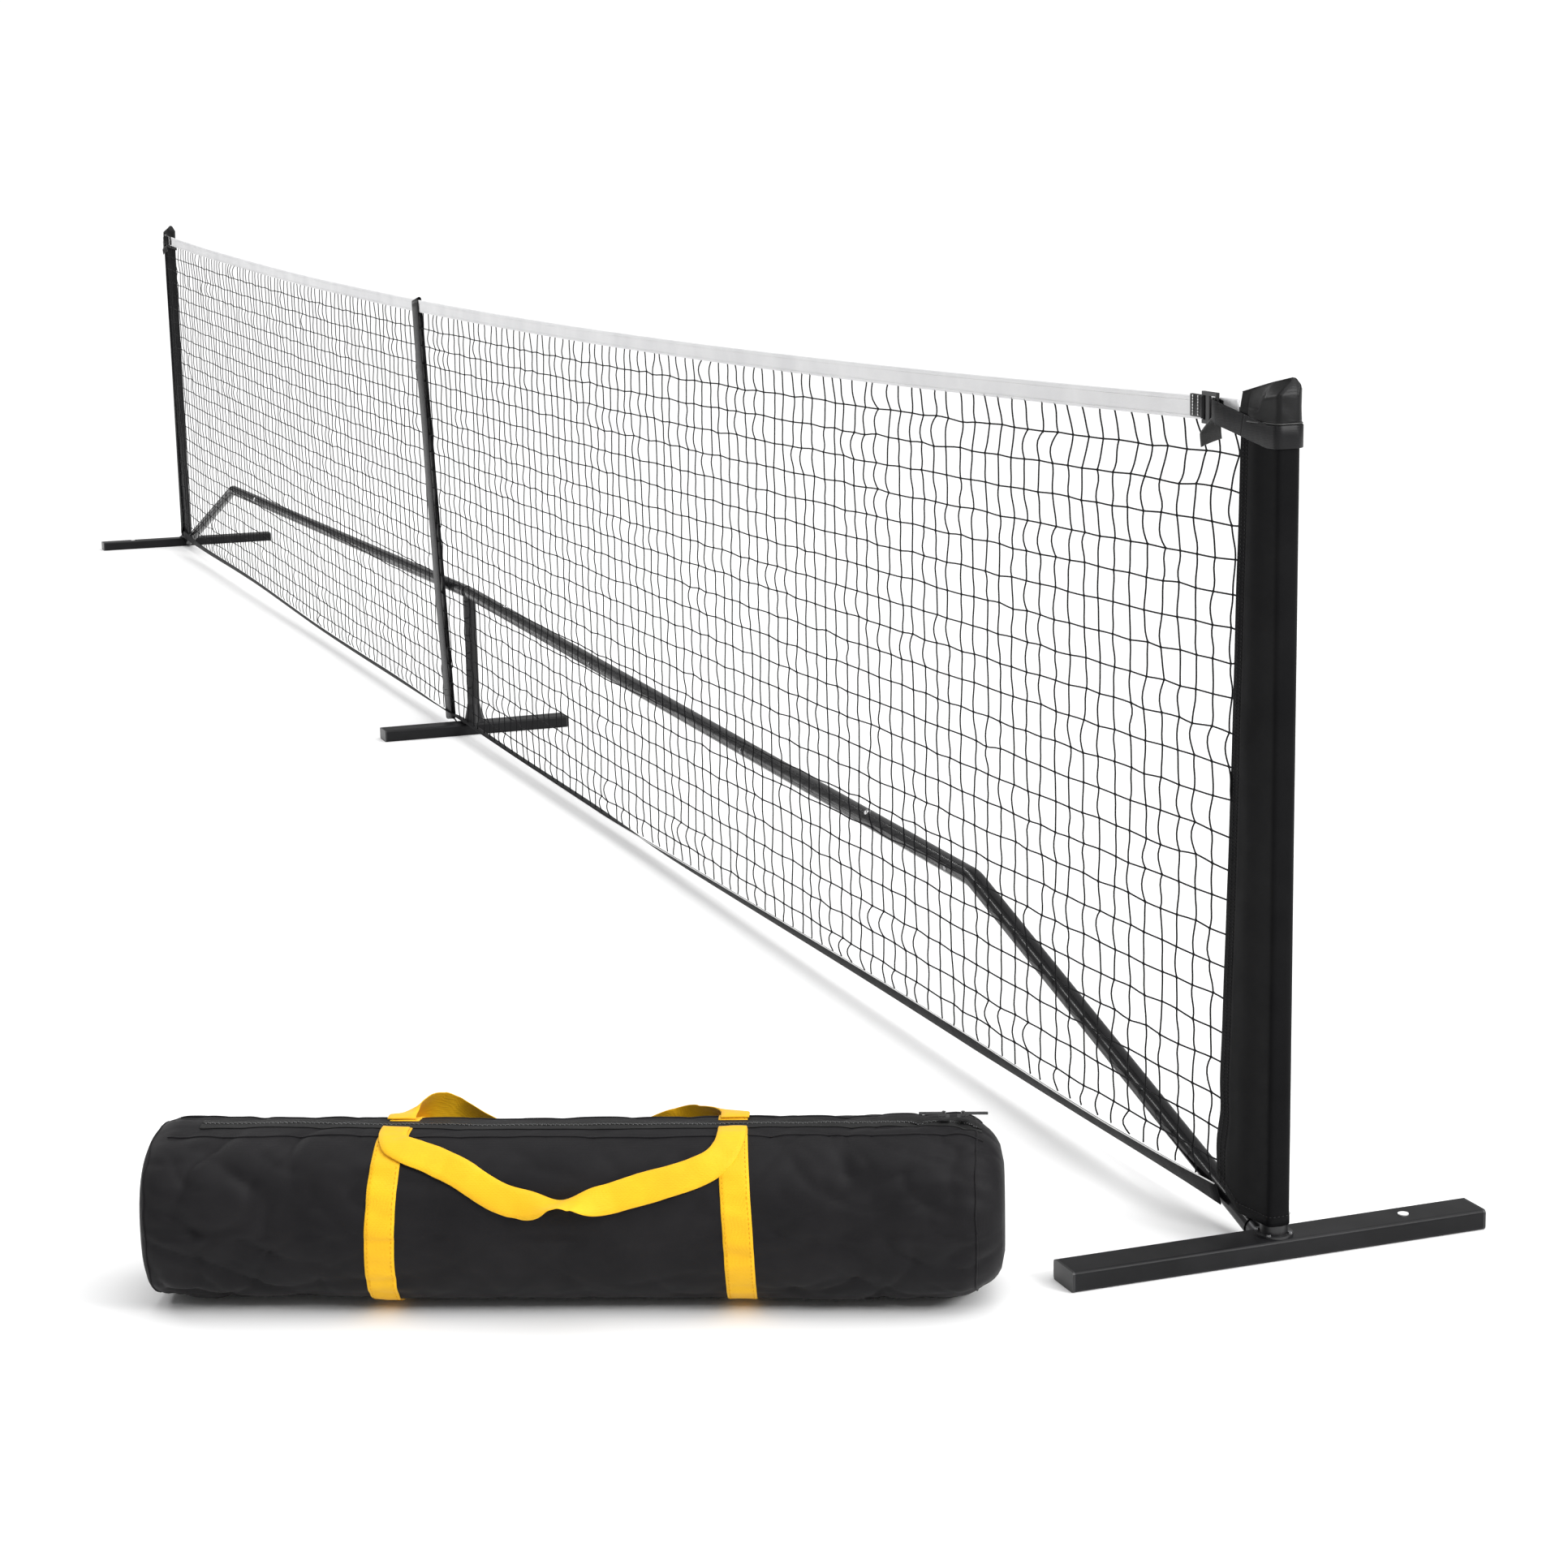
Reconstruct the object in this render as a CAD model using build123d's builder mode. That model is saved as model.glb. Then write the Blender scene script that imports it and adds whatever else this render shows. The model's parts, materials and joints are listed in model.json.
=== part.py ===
"""Portable court net: tube frame on three feet, sleeved posts, netting and a carry bag.

Millimetres. X runs along the net with the near end at +X, -Y is the side on which the net
hangs in front of the frame, +Z is up. The origin is the centre of the middle foot's underside.
Every sub-part is written to its own STEP file in parts/.
"""

from build123d import *
from math import atan, cos, radians, sin, tan
import os

# --- Driving dimensions ---------------------------------------------------------------
POST_SPACING = 6706.0
FOOT_WIDTH = 48.0
FOOT_HEIGHT = 23.0
FOOT_CORNER = 4.0
FOOT_WALL = 1.5
END_FOOT_LENGTH = 500.0
CENTRE_FOOT_LENGTH = 382.0
CAP_PLATE = 3.0

TUBE_OUTER = 25.0
TUBE_INNER = 22.4
INSERT_OUTER = 22.0
INSERT_INNER = 19.0

POST_TOP = 925.0
STUB_TOP = 143.0

BAR_HEIGHT = 288.0
BAR_FALL = 0.0172
ELBOW_X = 2549.0
ELBOW_RADIUS = 80.0
ARM_FOOT_Z = 12.0
TEE_REACH = 295.0
TEE_GAP = 15.0
BAR_JOINTS = (820.0, 1625.0, 2430.0)
INSERT_OUT = 75.0
INSERT_IN = 262.0
RIVET_OFFSET = 53.0
BUTTON_OFFSET = 241.0
TEE_BUTTON_X = 277.0

BUTTON_DIAMETER = 9.4
BUTTON_HOLE = 9.6
BUTTON_PROUD = 3.0
LEAF_THICKNESS = 0.8
LEAF_TOP = 8.6

NET_Y = -21.5
TAPE_CENTRE_Z = 864.5
TAPE_RISE = 53.7
TAPE_END_X = 3297.0
TAPE_HEIGHT = 25.0
TAPE_THICKNESS = 2.4
MESH_THICKNESS = 1.3
HEM_THICKNESS = 3.0

SLEEVE_BOTTOM = 36.5
SLEEVE_TOP = 895.0
CAP_BOTTOM = 896.0
CAP_PEAK = 944.0
STRAP_WIDTH = 24.0
STRAP_THICKNESS = 1.4
WRAP_Z = 883.5
BUCKLE_Z = 905.0

BAG_CENTRE = (3168.5, -724.6)
BAG_TURN = 66.85
BAG_LENGTH = 895.0
BAG_DEPTH = 190.0
BAG_HEIGHT = 185.0
BAG_CORNER = 80.0
BAND_THICKNESS = 2.5
BAND_WIDTH = 32.0
BAND_PLACES = (-192.0, 170.0)

# --- Worked-out sizes -----------------------------------------------------------------
POST_X = POST_SPACING / 2
ELBOW_Z = BAR_HEIGHT - BAR_FALL * ELBOW_X
FOOT_FACE_X = POST_X - FOOT_WIDTH / 2
ARM_SLOPE = atan((ELBOW_Z - ARM_FOOT_Z) / (FOOT_FACE_X - ELBOW_X))
BAR_SLOPE = atan(BAR_FALL)
TAPE_END_Z = TAPE_CENTRE_Z + TAPE_RISE
SIDES = {"near": 1, "far": -1}

os.makedirs("parts", exist_ok=True)


def save(piece, label):
    """Label a finished sub-part and write it."""
    piece.label = label
    export_step(piece, f"parts/{label}.step")


# --- Feet -----------------------------------------------------------------------------
def foot_tube(length, x, top_holes=(), side_holes=()):
    """Rectangular tube lying along Y at x.

    top_holes are (x, y, diameter) in the top wall, side_holes (y, z, diameter) in the -X wall.
    """
    with BuildPart() as foot:
        with BuildSketch(Plane.XZ):
            with Locations((x, FOOT_HEIGHT / 2)):
                RectangleRounded(FOOT_WIDTH, FOOT_HEIGHT, FOOT_CORNER)
                RectangleRounded(
                    FOOT_WIDTH - 2 * FOOT_WALL,
                    FOOT_HEIGHT - 2 * FOOT_WALL,
                    FOOT_CORNER - FOOT_WALL,
                    mode=Mode.SUBTRACT,
                )
        extrude(amount=length / 2 - CAP_PLATE, both=True)
        for hole_x, hole_y, diameter in top_holes:
            with BuildSketch(Plane.XY.offset(FOOT_HEIGHT)):
                with Locations((hole_x, hole_y)):
                    Circle(diameter / 2)
            extrude(amount=-2 * FOOT_WALL, mode=Mode.SUBTRACT)
        for hole_y, hole_z, diameter in side_holes:
            with BuildSketch(Plane.YZ.offset(x - FOOT_WIDTH / 2)):
                with Locations((hole_y, hole_z)):
                    Circle(diameter / 2)
            extrude(amount=2 * FOOT_WALL, mode=Mode.SUBTRACT)
    return foot


COLLAR_SCREW_RADIUS = 18.2
COLLAR_SCREW_HOLE = 3.4
PLUG_HOLE = 10.0
PLUG_Y = 160.0


def collar_screw_places(side):
    """The four screw centres round a post."""
    return [
        (side * POST_X + COLLAR_SCREW_RADIUS * cos(radians(a)), COLLAR_SCREW_RADIUS * sin(radians(a)))
        for a in (45, 135, 225, 315)
    ]


for name, side in SIDES.items():
    foot_holes = [(x, y, COLLAR_SCREW_HOLE) for x, y in collar_screw_places(side)]
    foot_holes.append((side * POST_X, side * PLUG_Y, PLUG_HOLE))
    end_foot = foot_tube(END_FOOT_LENGTH, side * POST_X, foot_holes)
    save(end_foot.part, f"{name}_foot")

HOOK_HOLE = 5.0
HOOK_Z = 12.0
centre_foot = foot_tube(CENTRE_FOOT_LENGTH, 0, side_holes=[(NET_Y, HOOK_Z, HOOK_HOLE)])
save(centre_foot.part, "centre_foot")

CAP_SPIGOT_DEPTH = 12.0
CAP_SPIGOT_CLEARANCE = 0.3
foot_ends = []
for x, length in ((POST_X, END_FOOT_LENGTH), (-POST_X, END_FOOT_LENGTH), (0, CENTRE_FOOT_LENGTH)):
    foot_ends.append((x, length / 2, 1))
    foot_ends.append((x, -length / 2, -1))

with BuildPart() as foot_end_caps:
    for x, y, outward in foot_ends:
        cap_plane = Plane(
            origin=(x, y - outward * CAP_PLATE, FOOT_HEIGHT / 2), x_dir=(1, 0, 0), z_dir=(0, outward, 0)
        )
        with BuildSketch(cap_plane):
            RectangleRounded(FOOT_WIDTH, FOOT_HEIGHT, FOOT_CORNER)
        extrude(amount=CAP_PLATE)
        with BuildSketch(cap_plane):
            RectangleRounded(
                FOOT_WIDTH - 2 * FOOT_WALL - CAP_SPIGOT_CLEARANCE,
                FOOT_HEIGHT - 2 * FOOT_WALL - CAP_SPIGOT_CLEARANCE,
                FOOT_CORNER - FOOT_WALL,
            )
        extrude(amount=-CAP_SPIGOT_DEPTH)
save(foot_end_caps.part, "foot_end_caps")

with BuildPart() as foot_hole_plugs:
    for side in SIDES.values():
        plug_centre = (side * POST_X, side * PLUG_Y)
        with BuildSketch(Plane.XY.offset(FOOT_HEIGHT)):
            with Locations(plug_centre):
                Circle(PLUG_HOLE / 2 + 1)
        extrude(amount=1.2)
        with BuildSketch(Plane.XY.offset(FOOT_HEIGHT)):
            with Locations(plug_centre):
                Circle(PLUG_HOLE / 2 - 0.2)
        extrude(amount=-2 * FOOT_WALL)
save(foot_hole_plugs.part, "foot_hole_plugs")

# --- Posts ----------------------------------------------------------------------------
COLLAR_FLANGE = 42.0
COLLAR_FLANGE_THICKNESS = 3.0
COLLAR_NECK = 30.0
COLLAR_NECK_HEIGHT = 10.0
COLLAR_BORE = 25.6
POST_BOTTOM = FOOT_HEIGHT + 0.3

with BuildPart() as post_stubs:
    with BuildSketch(Plane.XY.offset(FOOT_HEIGHT)):
        with Locations((POST_X, 0), (-POST_X, 0)):
            Circle(INSERT_OUTER / 2)
            Circle(INSERT_INNER / 2, mode=Mode.SUBTRACT)
    extrude(amount=STUB_TOP - FOOT_HEIGHT)
save(post_stubs.part, "post_stubs")

with BuildPart() as base_collars:
    with BuildSketch(Plane.XY.offset(FOOT_HEIGHT)):
        with Locations((POST_X, 0), (-POST_X, 0)):
            Circle(COLLAR_FLANGE / 2)
    extrude(amount=COLLAR_FLANGE_THICKNESS)
    with BuildSketch(Plane.XY.offset(FOOT_HEIGHT)):
        with Locations((POST_X, 0), (-POST_X, 0)):
            Circle(COLLAR_NECK / 2)
    extrude(amount=COLLAR_FLANGE_THICKNESS + COLLAR_NECK_HEIGHT)
    with BuildSketch(Plane.XY.offset(FOOT_HEIGHT)):
        with Locations((POST_X, 0), (-POST_X, 0)):
            Circle(COLLAR_BORE / 2)
        for side in SIDES.values():
            with Locations(*collar_screw_places(side)):
                Circle(COLLAR_SCREW_HOLE / 2)
    extrude(amount=COLLAR_FLANGE_THICKNESS + COLLAR_NECK_HEIGHT, mode=Mode.SUBTRACT)
save(base_collars.part, "base_collars")

SCREW_HEAD = 5.5
SCREW_HEAD_HEIGHT = 2.0
SCREW_SHANK = 3.2
with BuildPart() as collar_screws:
    flange_top = FOOT_HEIGHT + COLLAR_FLANGE_THICKNESS
    for side in SIDES.values():
        with BuildSketch(Plane.XY.offset(flange_top)):
            with Locations(*collar_screw_places(side)):
                Circle(SCREW_HEAD / 2)
        extrude(amount=SCREW_HEAD_HEIGHT, taper=12)
        with BuildSketch(Plane.XY.offset(flange_top)):
            with Locations(*collar_screw_places(side)):
                Circle(SCREW_SHANK / 2)
        extrude(amount=-(COLLAR_FLANGE_THICKNESS + 3 * FOOT_WALL))
save(collar_screws.part, "collar_screws")

for name, side in SIDES.items():
    with BuildPart() as post:
        with BuildSketch(Plane.XY.offset(POST_BOTTOM)):
            with Locations((side * POST_X, 0)):
                Circle(TUBE_OUTER / 2)
                Circle(TUBE_INNER / 2, mode=Mode.SUBTRACT)
        extrude(amount=POST_TOP - POST_BOTTOM)
    save(post.part, f"{name}_post")

with BuildPart() as post_top_plugs:
    with BuildSketch(Plane.XY.offset(POST_TOP)):
        with Locations((POST_X, 0), (-POST_X, 0)):
            Circle(TUBE_OUTER / 2)
    extrude(amount=CAP_PLATE)
    with BuildSketch(Plane.XY.offset(POST_TOP)):
        with Locations((POST_X, 0), (-POST_X, 0)):
            Circle(TUBE_INNER / 2 - 0.1)
    extrude(amount=-15)
save(post_top_plugs.part, "post_top_plugs")


# --- Crossbar -------------------------------------------------------------------------
def bar_point(x, side):
    """A point on the crossbar's axis, at the distance x from the middle."""
    return (side * x, 0, BAR_HEIGHT - BAR_FALL * x)


def bar_plane(x, side):
    """The plane across the crossbar at x, facing outward, with its own y up."""
    return Plane(
        origin=bar_point(x, side),
        x_dir=(0, side, 0),
        z_dir=(side * cos(BAR_SLOPE), 0, -sin(BAR_SLOPE)),
    )


def radial_plane(x, side, tilt):
    """The plane on the bar's axis at x that faces out of the tube, tilt degrees from up to -Y."""
    across = bar_plane(x, side)
    outward = across.y_dir * cos(radians(tilt)) + Vector(0, -1, 0) * sin(radians(tilt))
    return Plane(origin=across.origin, x_dir=across.z_dir, z_dir=outward)


# Buttons: the distance from the middle, and each end's tilt from up toward -Y in degrees.
BUTTONS = {
    "tee": (TEE_BUTTON_X, {"near": 0, "far": 0}),
    "inner": (BAR_JOINTS[0] - BUTTON_OFFSET, {"near": -70, "far": -70}),
    "middle": (BAR_JOINTS[1] - BUTTON_OFFSET, {"near": -70, "far": -70}),
    "outer": (BAR_JOINTS[2] - BUTTON_OFFSET, {"near": 25, "far": 65}),
}
RIVET_TILT = 90.0
RIVET_HOLE = 4.2


def bar_tube(start, end, side, outer, inner, holes):
    """A straight stretch of the crossbar with (x, tilt, diameter) holes."""
    length = (end - start) / cos(BAR_SLOPE)
    with BuildPart() as tube:
        with BuildSketch(bar_plane(start, side)):
            Circle(outer / 2)
            Circle(inner / 2, mode=Mode.SUBTRACT)
        extrude(amount=length)
        for hole_x, tilt, diameter in holes:
            with BuildSketch(radial_plane(hole_x, side, tilt)):
                Circle(diameter / 2)
            extrude(amount=TUBE_OUTER, mode=Mode.SUBTRACT)
    return tube


def button_hole(group, name):
    """The hole that the named button needs at this end of the bar."""
    x, tilts = BUTTONS[group]
    return (x, tilts[name], BUTTON_HOLE)


def rivet_hole(joint):
    """The hole for the rivet that holds an insert just outboard of a joint."""
    return (joint + RIVET_OFFSET, RIVET_TILT, RIVET_HOLE)


SECTIONS = {
    "inner": (TEE_GAP, BAR_JOINTS[0]),
    "middle": (BAR_JOINTS[0], BAR_JOINTS[1]),
    "outer": (BAR_JOINTS[1], BAR_JOINTS[2]),
}
SECTION_SPLIT = 0.4
for name, side in SIDES.items():
    for section, (start, end) in SECTIONS.items():
        section_holes = [button_hole(section, name)]
        if section == "inner":
            section_holes.append(button_hole("tee", name))
        else:
            section_holes.append(rivet_hole(start))
        crossbar = bar_tube(
            start + SECTION_SPLIT / 2,
            end - SECTION_SPLIT / 2,
            side,
            TUBE_OUTER,
            TUBE_INNER,
            section_holes,
        )
        save(crossbar.part, f"{name}_crossbar_{section}")

with BuildPart() as joint_inserts:
    for name, side in SIDES.items():
        for section, joint in zip(SECTIONS, BAR_JOINTS):
            insert_start = joint - INSERT_IN
            with BuildSketch(bar_plane(insert_start, side)):
                Circle(INSERT_OUTER / 2)
                Circle(INSERT_INNER / 2, mode=Mode.SUBTRACT)
            extrude(amount=INSERT_IN + INSERT_OUT)
            for hole_x, tilt, diameter in (button_hole(section, name), rivet_hole(joint)):
                with BuildSketch(radial_plane(hole_x, side, tilt)):
                    Circle(diameter / 2)
                extrude(amount=TUBE_OUTER, mode=Mode.SUBTRACT)
save(joint_inserts.part, "joint_inserts")

RIVET_HEAD = 8.0
RIVET_HEAD_HEIGHT = 1.6
with BuildPart() as insert_rivets:
    for side in SIDES.values():
        for joint in BAR_JOINTS:
            seat = radial_plane(joint + RIVET_OFFSET, side, RIVET_TILT)
            with BuildSketch(seat.offset(TUBE_OUTER / 2 + 0.05)):
                Circle(RIVET_HEAD / 2)
            extrude(amount=RIVET_HEAD_HEIGHT, taper=35)
            with BuildSketch(seat.offset(TUBE_OUTER / 2 + 0.05)):
                Circle(RIVET_HOLE / 2 - 0.1)
            extrude(amount=-(TUBE_OUTER - INSERT_INNER) / 2 - 1)
save(insert_rivets.part, "insert_rivets")

# --- Arms: the outer crossbar sections that bend down to the end feet -------------------
ARM_STUB_LENGTH = 150.0
ARM_END_GAP = 20.0
for name, side in SIDES.items():
    arm_end_x = FOOT_FACE_X - ARM_END_GAP
    arm_end_z = ARM_FOOT_Z + ARM_END_GAP * tan(ARM_SLOPE)
    outer_joint = BAR_JOINTS[2] + SECTION_SPLIT / 2
    with BuildPart() as arm:
        with BuildLine() as arm_path:
            FilletPolyline(
                bar_point(outer_joint, side),
                (side * ELBOW_X, 0, ELBOW_Z),
                (side * arm_end_x, 0, arm_end_z),
                radius=ELBOW_RADIUS,
            )
        with BuildSketch(bar_plane(outer_joint, side)):
            Circle(TUBE_OUTER / 2)
            Circle(TUBE_INNER / 2, mode=Mode.SUBTRACT)
        sweep(path=arm_path.wire())
        with BuildSketch(radial_plane(BAR_JOINTS[2] + RIVET_OFFSET, side, RIVET_TILT)):
            Circle(RIVET_HOLE / 2)
        extrude(amount=TUBE_OUTER, mode=Mode.SUBTRACT)
    save(arm.part, f"{name}_arm")

with BuildPart() as arm_stubs:
    for side in SIDES.values():
        stub_end_x = FOOT_FACE_X - ARM_STUB_LENGTH * cos(ARM_SLOPE)
        stub_end_z = ARM_FOOT_Z + ARM_STUB_LENGTH * sin(ARM_SLOPE)
        stub_plane = Plane(
            origin=(side * stub_end_x, 0, stub_end_z),
            x_dir=(0, 1, 0),
            z_dir=(side * cos(ARM_SLOPE), 0, -sin(ARM_SLOPE)),
        )
        with BuildSketch(stub_plane):
            Circle(INSERT_OUTER / 2)
            Circle(INSERT_INNER / 2, mode=Mode.SUBTRACT)
        extrude(amount=ARM_STUB_LENGTH + INSERT_OUTER / 2)
        with BuildSketch(Plane.YZ.offset(side * FOOT_FACE_X)):
            Rectangle(4 * FOOT_WIDTH, 4 * FOOT_WIDTH)
        extrude(amount=side * FOOT_WIDTH, mode=Mode.SUBTRACT)
save(arm_stubs.part, "arm_stubs")

# --- Middle: tee crosspiece on an upright ----------------------------------------------
KINK_RADIUS = 400.0
with BuildPart() as tee_crosspiece:
    with BuildLine() as tee_path:
        FilletPolyline(
            bar_point(TEE_REACH, -1), (0, 0, BAR_HEIGHT), bar_point(TEE_REACH, 1), radius=KINK_RADIUS
        )
    with BuildSketch(Plane(bar_plane(TEE_REACH, -1).origin, z_dir=-bar_plane(TEE_REACH, -1).z_dir)):
        Circle(INSERT_OUTER / 2)
        Circle(INSERT_INNER / 2, mode=Mode.SUBTRACT)
    sweep(path=tee_path.wire())
    for name, side in SIDES.items():
        tee_x, tee_tilts = BUTTONS["tee"]
        with BuildSketch(radial_plane(tee_x, side, tee_tilts[name])):
            Circle(BUTTON_HOLE / 2)
        extrude(amount=TUBE_OUTER, mode=Mode.SUBTRACT)
save(tee_crosspiece.part, "tee_crosspiece")

CONE_FOOT = 40.0
CONE_TOP = 26.0
CONE_TOP_Z = 60.0
SOCKET_TOP_Z = 75.0
SPIGOT_TOP_Z = 165.0
with BuildPart() as upright:
    with BuildSketch(Plane.XY.offset(SOCKET_TOP_Z + 0.3)):
        Circle(TUBE_OUTER / 2)
        Circle(TUBE_INNER / 2, mode=Mode.SUBTRACT)
    extrude(amount=BAR_HEIGHT - SOCKET_TOP_Z - 0.3)
    with BuildSketch(Plane.YZ):
        with Locations((0, BAR_HEIGHT)):
            Circle(INSERT_OUTER / 2 + 0.4)
    extrude(amount=TUBE_OUTER, both=True, mode=Mode.SUBTRACT)
save(upright.part, "upright")

with BuildPart() as upright_base:
    with BuildSketch(Plane.XZ):
        with BuildLine():
            Polyline(
                (INSERT_INNER / 2, FOOT_HEIGHT),
                (CONE_FOOT / 2, FOOT_HEIGHT),
                (CONE_TOP / 2, CONE_TOP_Z),
                (TUBE_OUTER / 2, CONE_TOP_Z),
                (TUBE_OUTER / 2, SOCKET_TOP_Z),
                (INSERT_OUTER / 2, SOCKET_TOP_Z),
                (INSERT_OUTER / 2, SPIGOT_TOP_Z),
                (INSERT_INNER / 2, SPIGOT_TOP_Z),
                close=True,
            )
        make_face()
    revolve(axis=Axis.Z)
save(upright_base.part, "upright_base")

# --- Snap buttons and their springs ------------------------------------------------------
LEAF_LENGTH = 31.0
LEAF_WIDTH = 7.0
BEND_START = LEAF_LENGTH / 2 + 0.5


def snap_button(x, side, tilt):
    """A domed button and the upper leaf of its spring, in one piece."""
    seat = radial_plane(x, side, tilt)
    with BuildPart() as button:
        with BuildSketch(seat.offset(LEAF_TOP - LEAF_THICKNESS)):
            Rectangle(LEAF_LENGTH, LEAF_WIDTH)
        extrude(amount=LEAF_THICKNESS)
        with BuildSketch(seat.offset(LEAF_TOP)):
            Circle(BUTTON_DIAMETER / 2)
        extrude(amount=TUBE_OUTER / 2 + BUTTON_PROUD - LEAF_TOP)
        fillet(button.edges().group_by(Axis(seat.origin, seat.z_dir))[-1], BUTTON_PROUD - 0.6)
    return button


for group, (x, tilts) in BUTTONS.items():
    for name, side in SIDES.items():
        button = snap_button(x, side, tilts[name])
        save(button.part, f"{name}_snap_button_{group}")

SPRING_MID = LEAF_TOP - LEAF_THICKNESS / 2
with BuildPart() as button_springs:
    for x, tilts in BUTTONS.values():
        for name, side in SIDES.items():
            seat = radial_plane(x, side, tilts[name])
            side_view = Plane(origin=seat.origin, x_dir=seat.x_dir, z_dir=seat.y_dir * -1)
            with BuildSketch(side_view):
                with BuildLine():
                    Line((-LEAF_LENGTH / 2, -SPRING_MID), (BEND_START, -SPRING_MID))
                    ThreePointArc(
                        (BEND_START, -SPRING_MID),
                        (BEND_START + SPRING_MID, 0),
                        (BEND_START, SPRING_MID),
                    )
                trace(line_width=LEAF_THICKNESS)
            extrude(amount=LEAF_WIDTH / 2, both=True)
save(button_springs.part, "button_springs")

# --- Netting, tape and hem -----------------------------------------------------------------
# The sleeve's net-side edge leans: its distance inboard of the post at the bottom and the top.
FLAP_BOTTOM = 88.0
FLAP_TOP = 47.0
EDGE_GAP = 0.3
HEM_TOP = ((0, 31), (60, 31), (250, 30), (560, 33), (1350, 31), (2220, 44.5), (3000, 48))
HEM_BOTTOM = ((0, 24.5), (60, 24.5), (250, 16), (560, 17), (1350, 15.5), (2220, 25.5), (3000, 28))
HEM_END_TOP = 54.0
HEM_END_BOTTOM = 30.0


def flap_x(z):
    """The x of the near sleeve's net-side edge at the height z."""
    share = (z - SLEEVE_BOTTOM) / (SLEEVE_TOP - SLEEVE_BOTTOM)
    return POST_X - FLAP_BOTTOM + (FLAP_BOTTOM - FLAP_TOP) * share


HEM_END_X = flap_x(HEM_END_TOP) - EDGE_GAP


def both_sides(points):
    """A half outline from the middle outward, as one list from -X to +X."""
    return [(-x, z) for x, z in reversed(points) if x > 0] + list(points)


NET_PLANE = Plane(origin=(0, NET_Y, 0), x_dir=(1, 0, 0), z_dir=(0, -1, 0))

with BuildPart() as top_tape:
    with BuildSketch(NET_PLANE):
        with BuildLine():
            upper = ThreePointArc(
                (-TAPE_END_X, TAPE_END_Z), (0, TAPE_CENTRE_Z), (TAPE_END_X, TAPE_END_Z)
            )
            lower = ThreePointArc(
                (-TAPE_END_X, TAPE_END_Z - TAPE_HEIGHT),
                (0, TAPE_CENTRE_Z - TAPE_HEIGHT),
                (TAPE_END_X, TAPE_END_Z - TAPE_HEIGHT),
            )
            Line(upper @ 0, lower @ 0)
            Line(upper @ 1, lower @ 1)
        make_face()
    extrude(amount=TAPE_THICKNESS / 2, both=True)
save(top_tape.part, "top_tape")

hem_upper = both_sides(HEM_TOP + ((HEM_END_X, HEM_END_TOP),))
hem_lower = both_sides(HEM_BOTTOM + ((HEM_END_X, HEM_END_BOTTOM),))
with BuildPart() as bottom_hem:
    with BuildSketch(NET_PLANE):
        with BuildLine():
            Polyline(*hem_upper, *reversed(hem_lower), close=True)
        make_face()
    extrude(amount=HEM_THICKNESS / 2, both=True)
save(bottom_hem.part, "bottom_hem")

mesh_top_z = TAPE_END_Z - TAPE_HEIGHT
with BuildPart() as net_mesh:
    with BuildSketch(NET_PLANE):
        with BuildLine():
            ThreePointArc(
                (-TAPE_END_X, mesh_top_z), (0, TAPE_CENTRE_Z - TAPE_HEIGHT), (TAPE_END_X, mesh_top_z)
            )
            Polyline((TAPE_END_X, mesh_top_z), *reversed(hem_upper), (-TAPE_END_X, mesh_top_z))
        make_face()
    extrude(amount=MESH_THICKNESS / 2, both=True)
save(net_mesh.part, "net_mesh")

# --- Sleeves and their caps -------------------------------------------------------------
SLEEVE_BORE = 26.2
SLEEVE_HALF_SEAM = 2.0
# The sleeve round the post in plan, from the front crease round the back: (outboard, y).
SLEEVE_CORNERS = ((15.0, -13.5), (14.5, 9.0), (9.0, 15.0), (-4.0, 15.0))
CAP_GROWTH = 1.7


def sleeve_outline(side, flap, growth=0.0):
    """The sleeve's plan outline with its net-side edge at the distance flap from the post."""
    corners = [(-flap, NET_Y + SLEEVE_HALF_SEAM), (-flap, NET_Y - SLEEVE_HALF_SEAM), *SLEEVE_CORNERS]
    with BuildSketch() as outline:
        with BuildLine():
            Polyline(*[(side * (POST_X + out), y) for out, y in corners], close=True)
        make_face()
        if growth:
            offset(amount=growth, kind=Kind.INTERSECTION)
    return outline.sketch


FLAP_CUT_WIDTH = 45.0
FLAP_CUT_HEIGHT = 27.0
for name, side in SIDES.items():
    with BuildPart() as sleeve:
        with BuildSketch(Plane.XY.offset(SLEEVE_BOTTOM)):
            add(sleeve_outline(side, FLAP_BOTTOM))
        with BuildSketch(Plane.XY.offset(SLEEVE_TOP)):
            add(sleeve_outline(side, FLAP_TOP))
        loft(ruled=True)
        with BuildSketch(Plane.XY.offset(SLEEVE_BOTTOM)):
            with Locations((side * POST_X, 0)):
                Circle(SLEEVE_BORE / 2)
        extrude(amount=SLEEVE_TOP - SLEEVE_BOTTOM, mode=Mode.SUBTRACT)
        with BuildSketch(Plane.XZ):
            with BuildLine():
                Polyline(
                    (side * (POST_X - FLAP_BOTTOM - 1), SLEEVE_BOTTOM - 1),
                    (side * (POST_X - FLAP_BOTTOM - 1), SLEEVE_BOTTOM + FLAP_CUT_HEIGHT),
                    (side * (POST_X - FLAP_BOTTOM + FLAP_CUT_WIDTH), SLEEVE_BOTTOM - 1),
                    close=True,
                )
            make_face()
        extrude(amount=2 * FOOT_WIDTH, both=True, mode=Mode.SUBTRACT)
    save(sleeve.part, f"{name}_sleeve")

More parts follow.
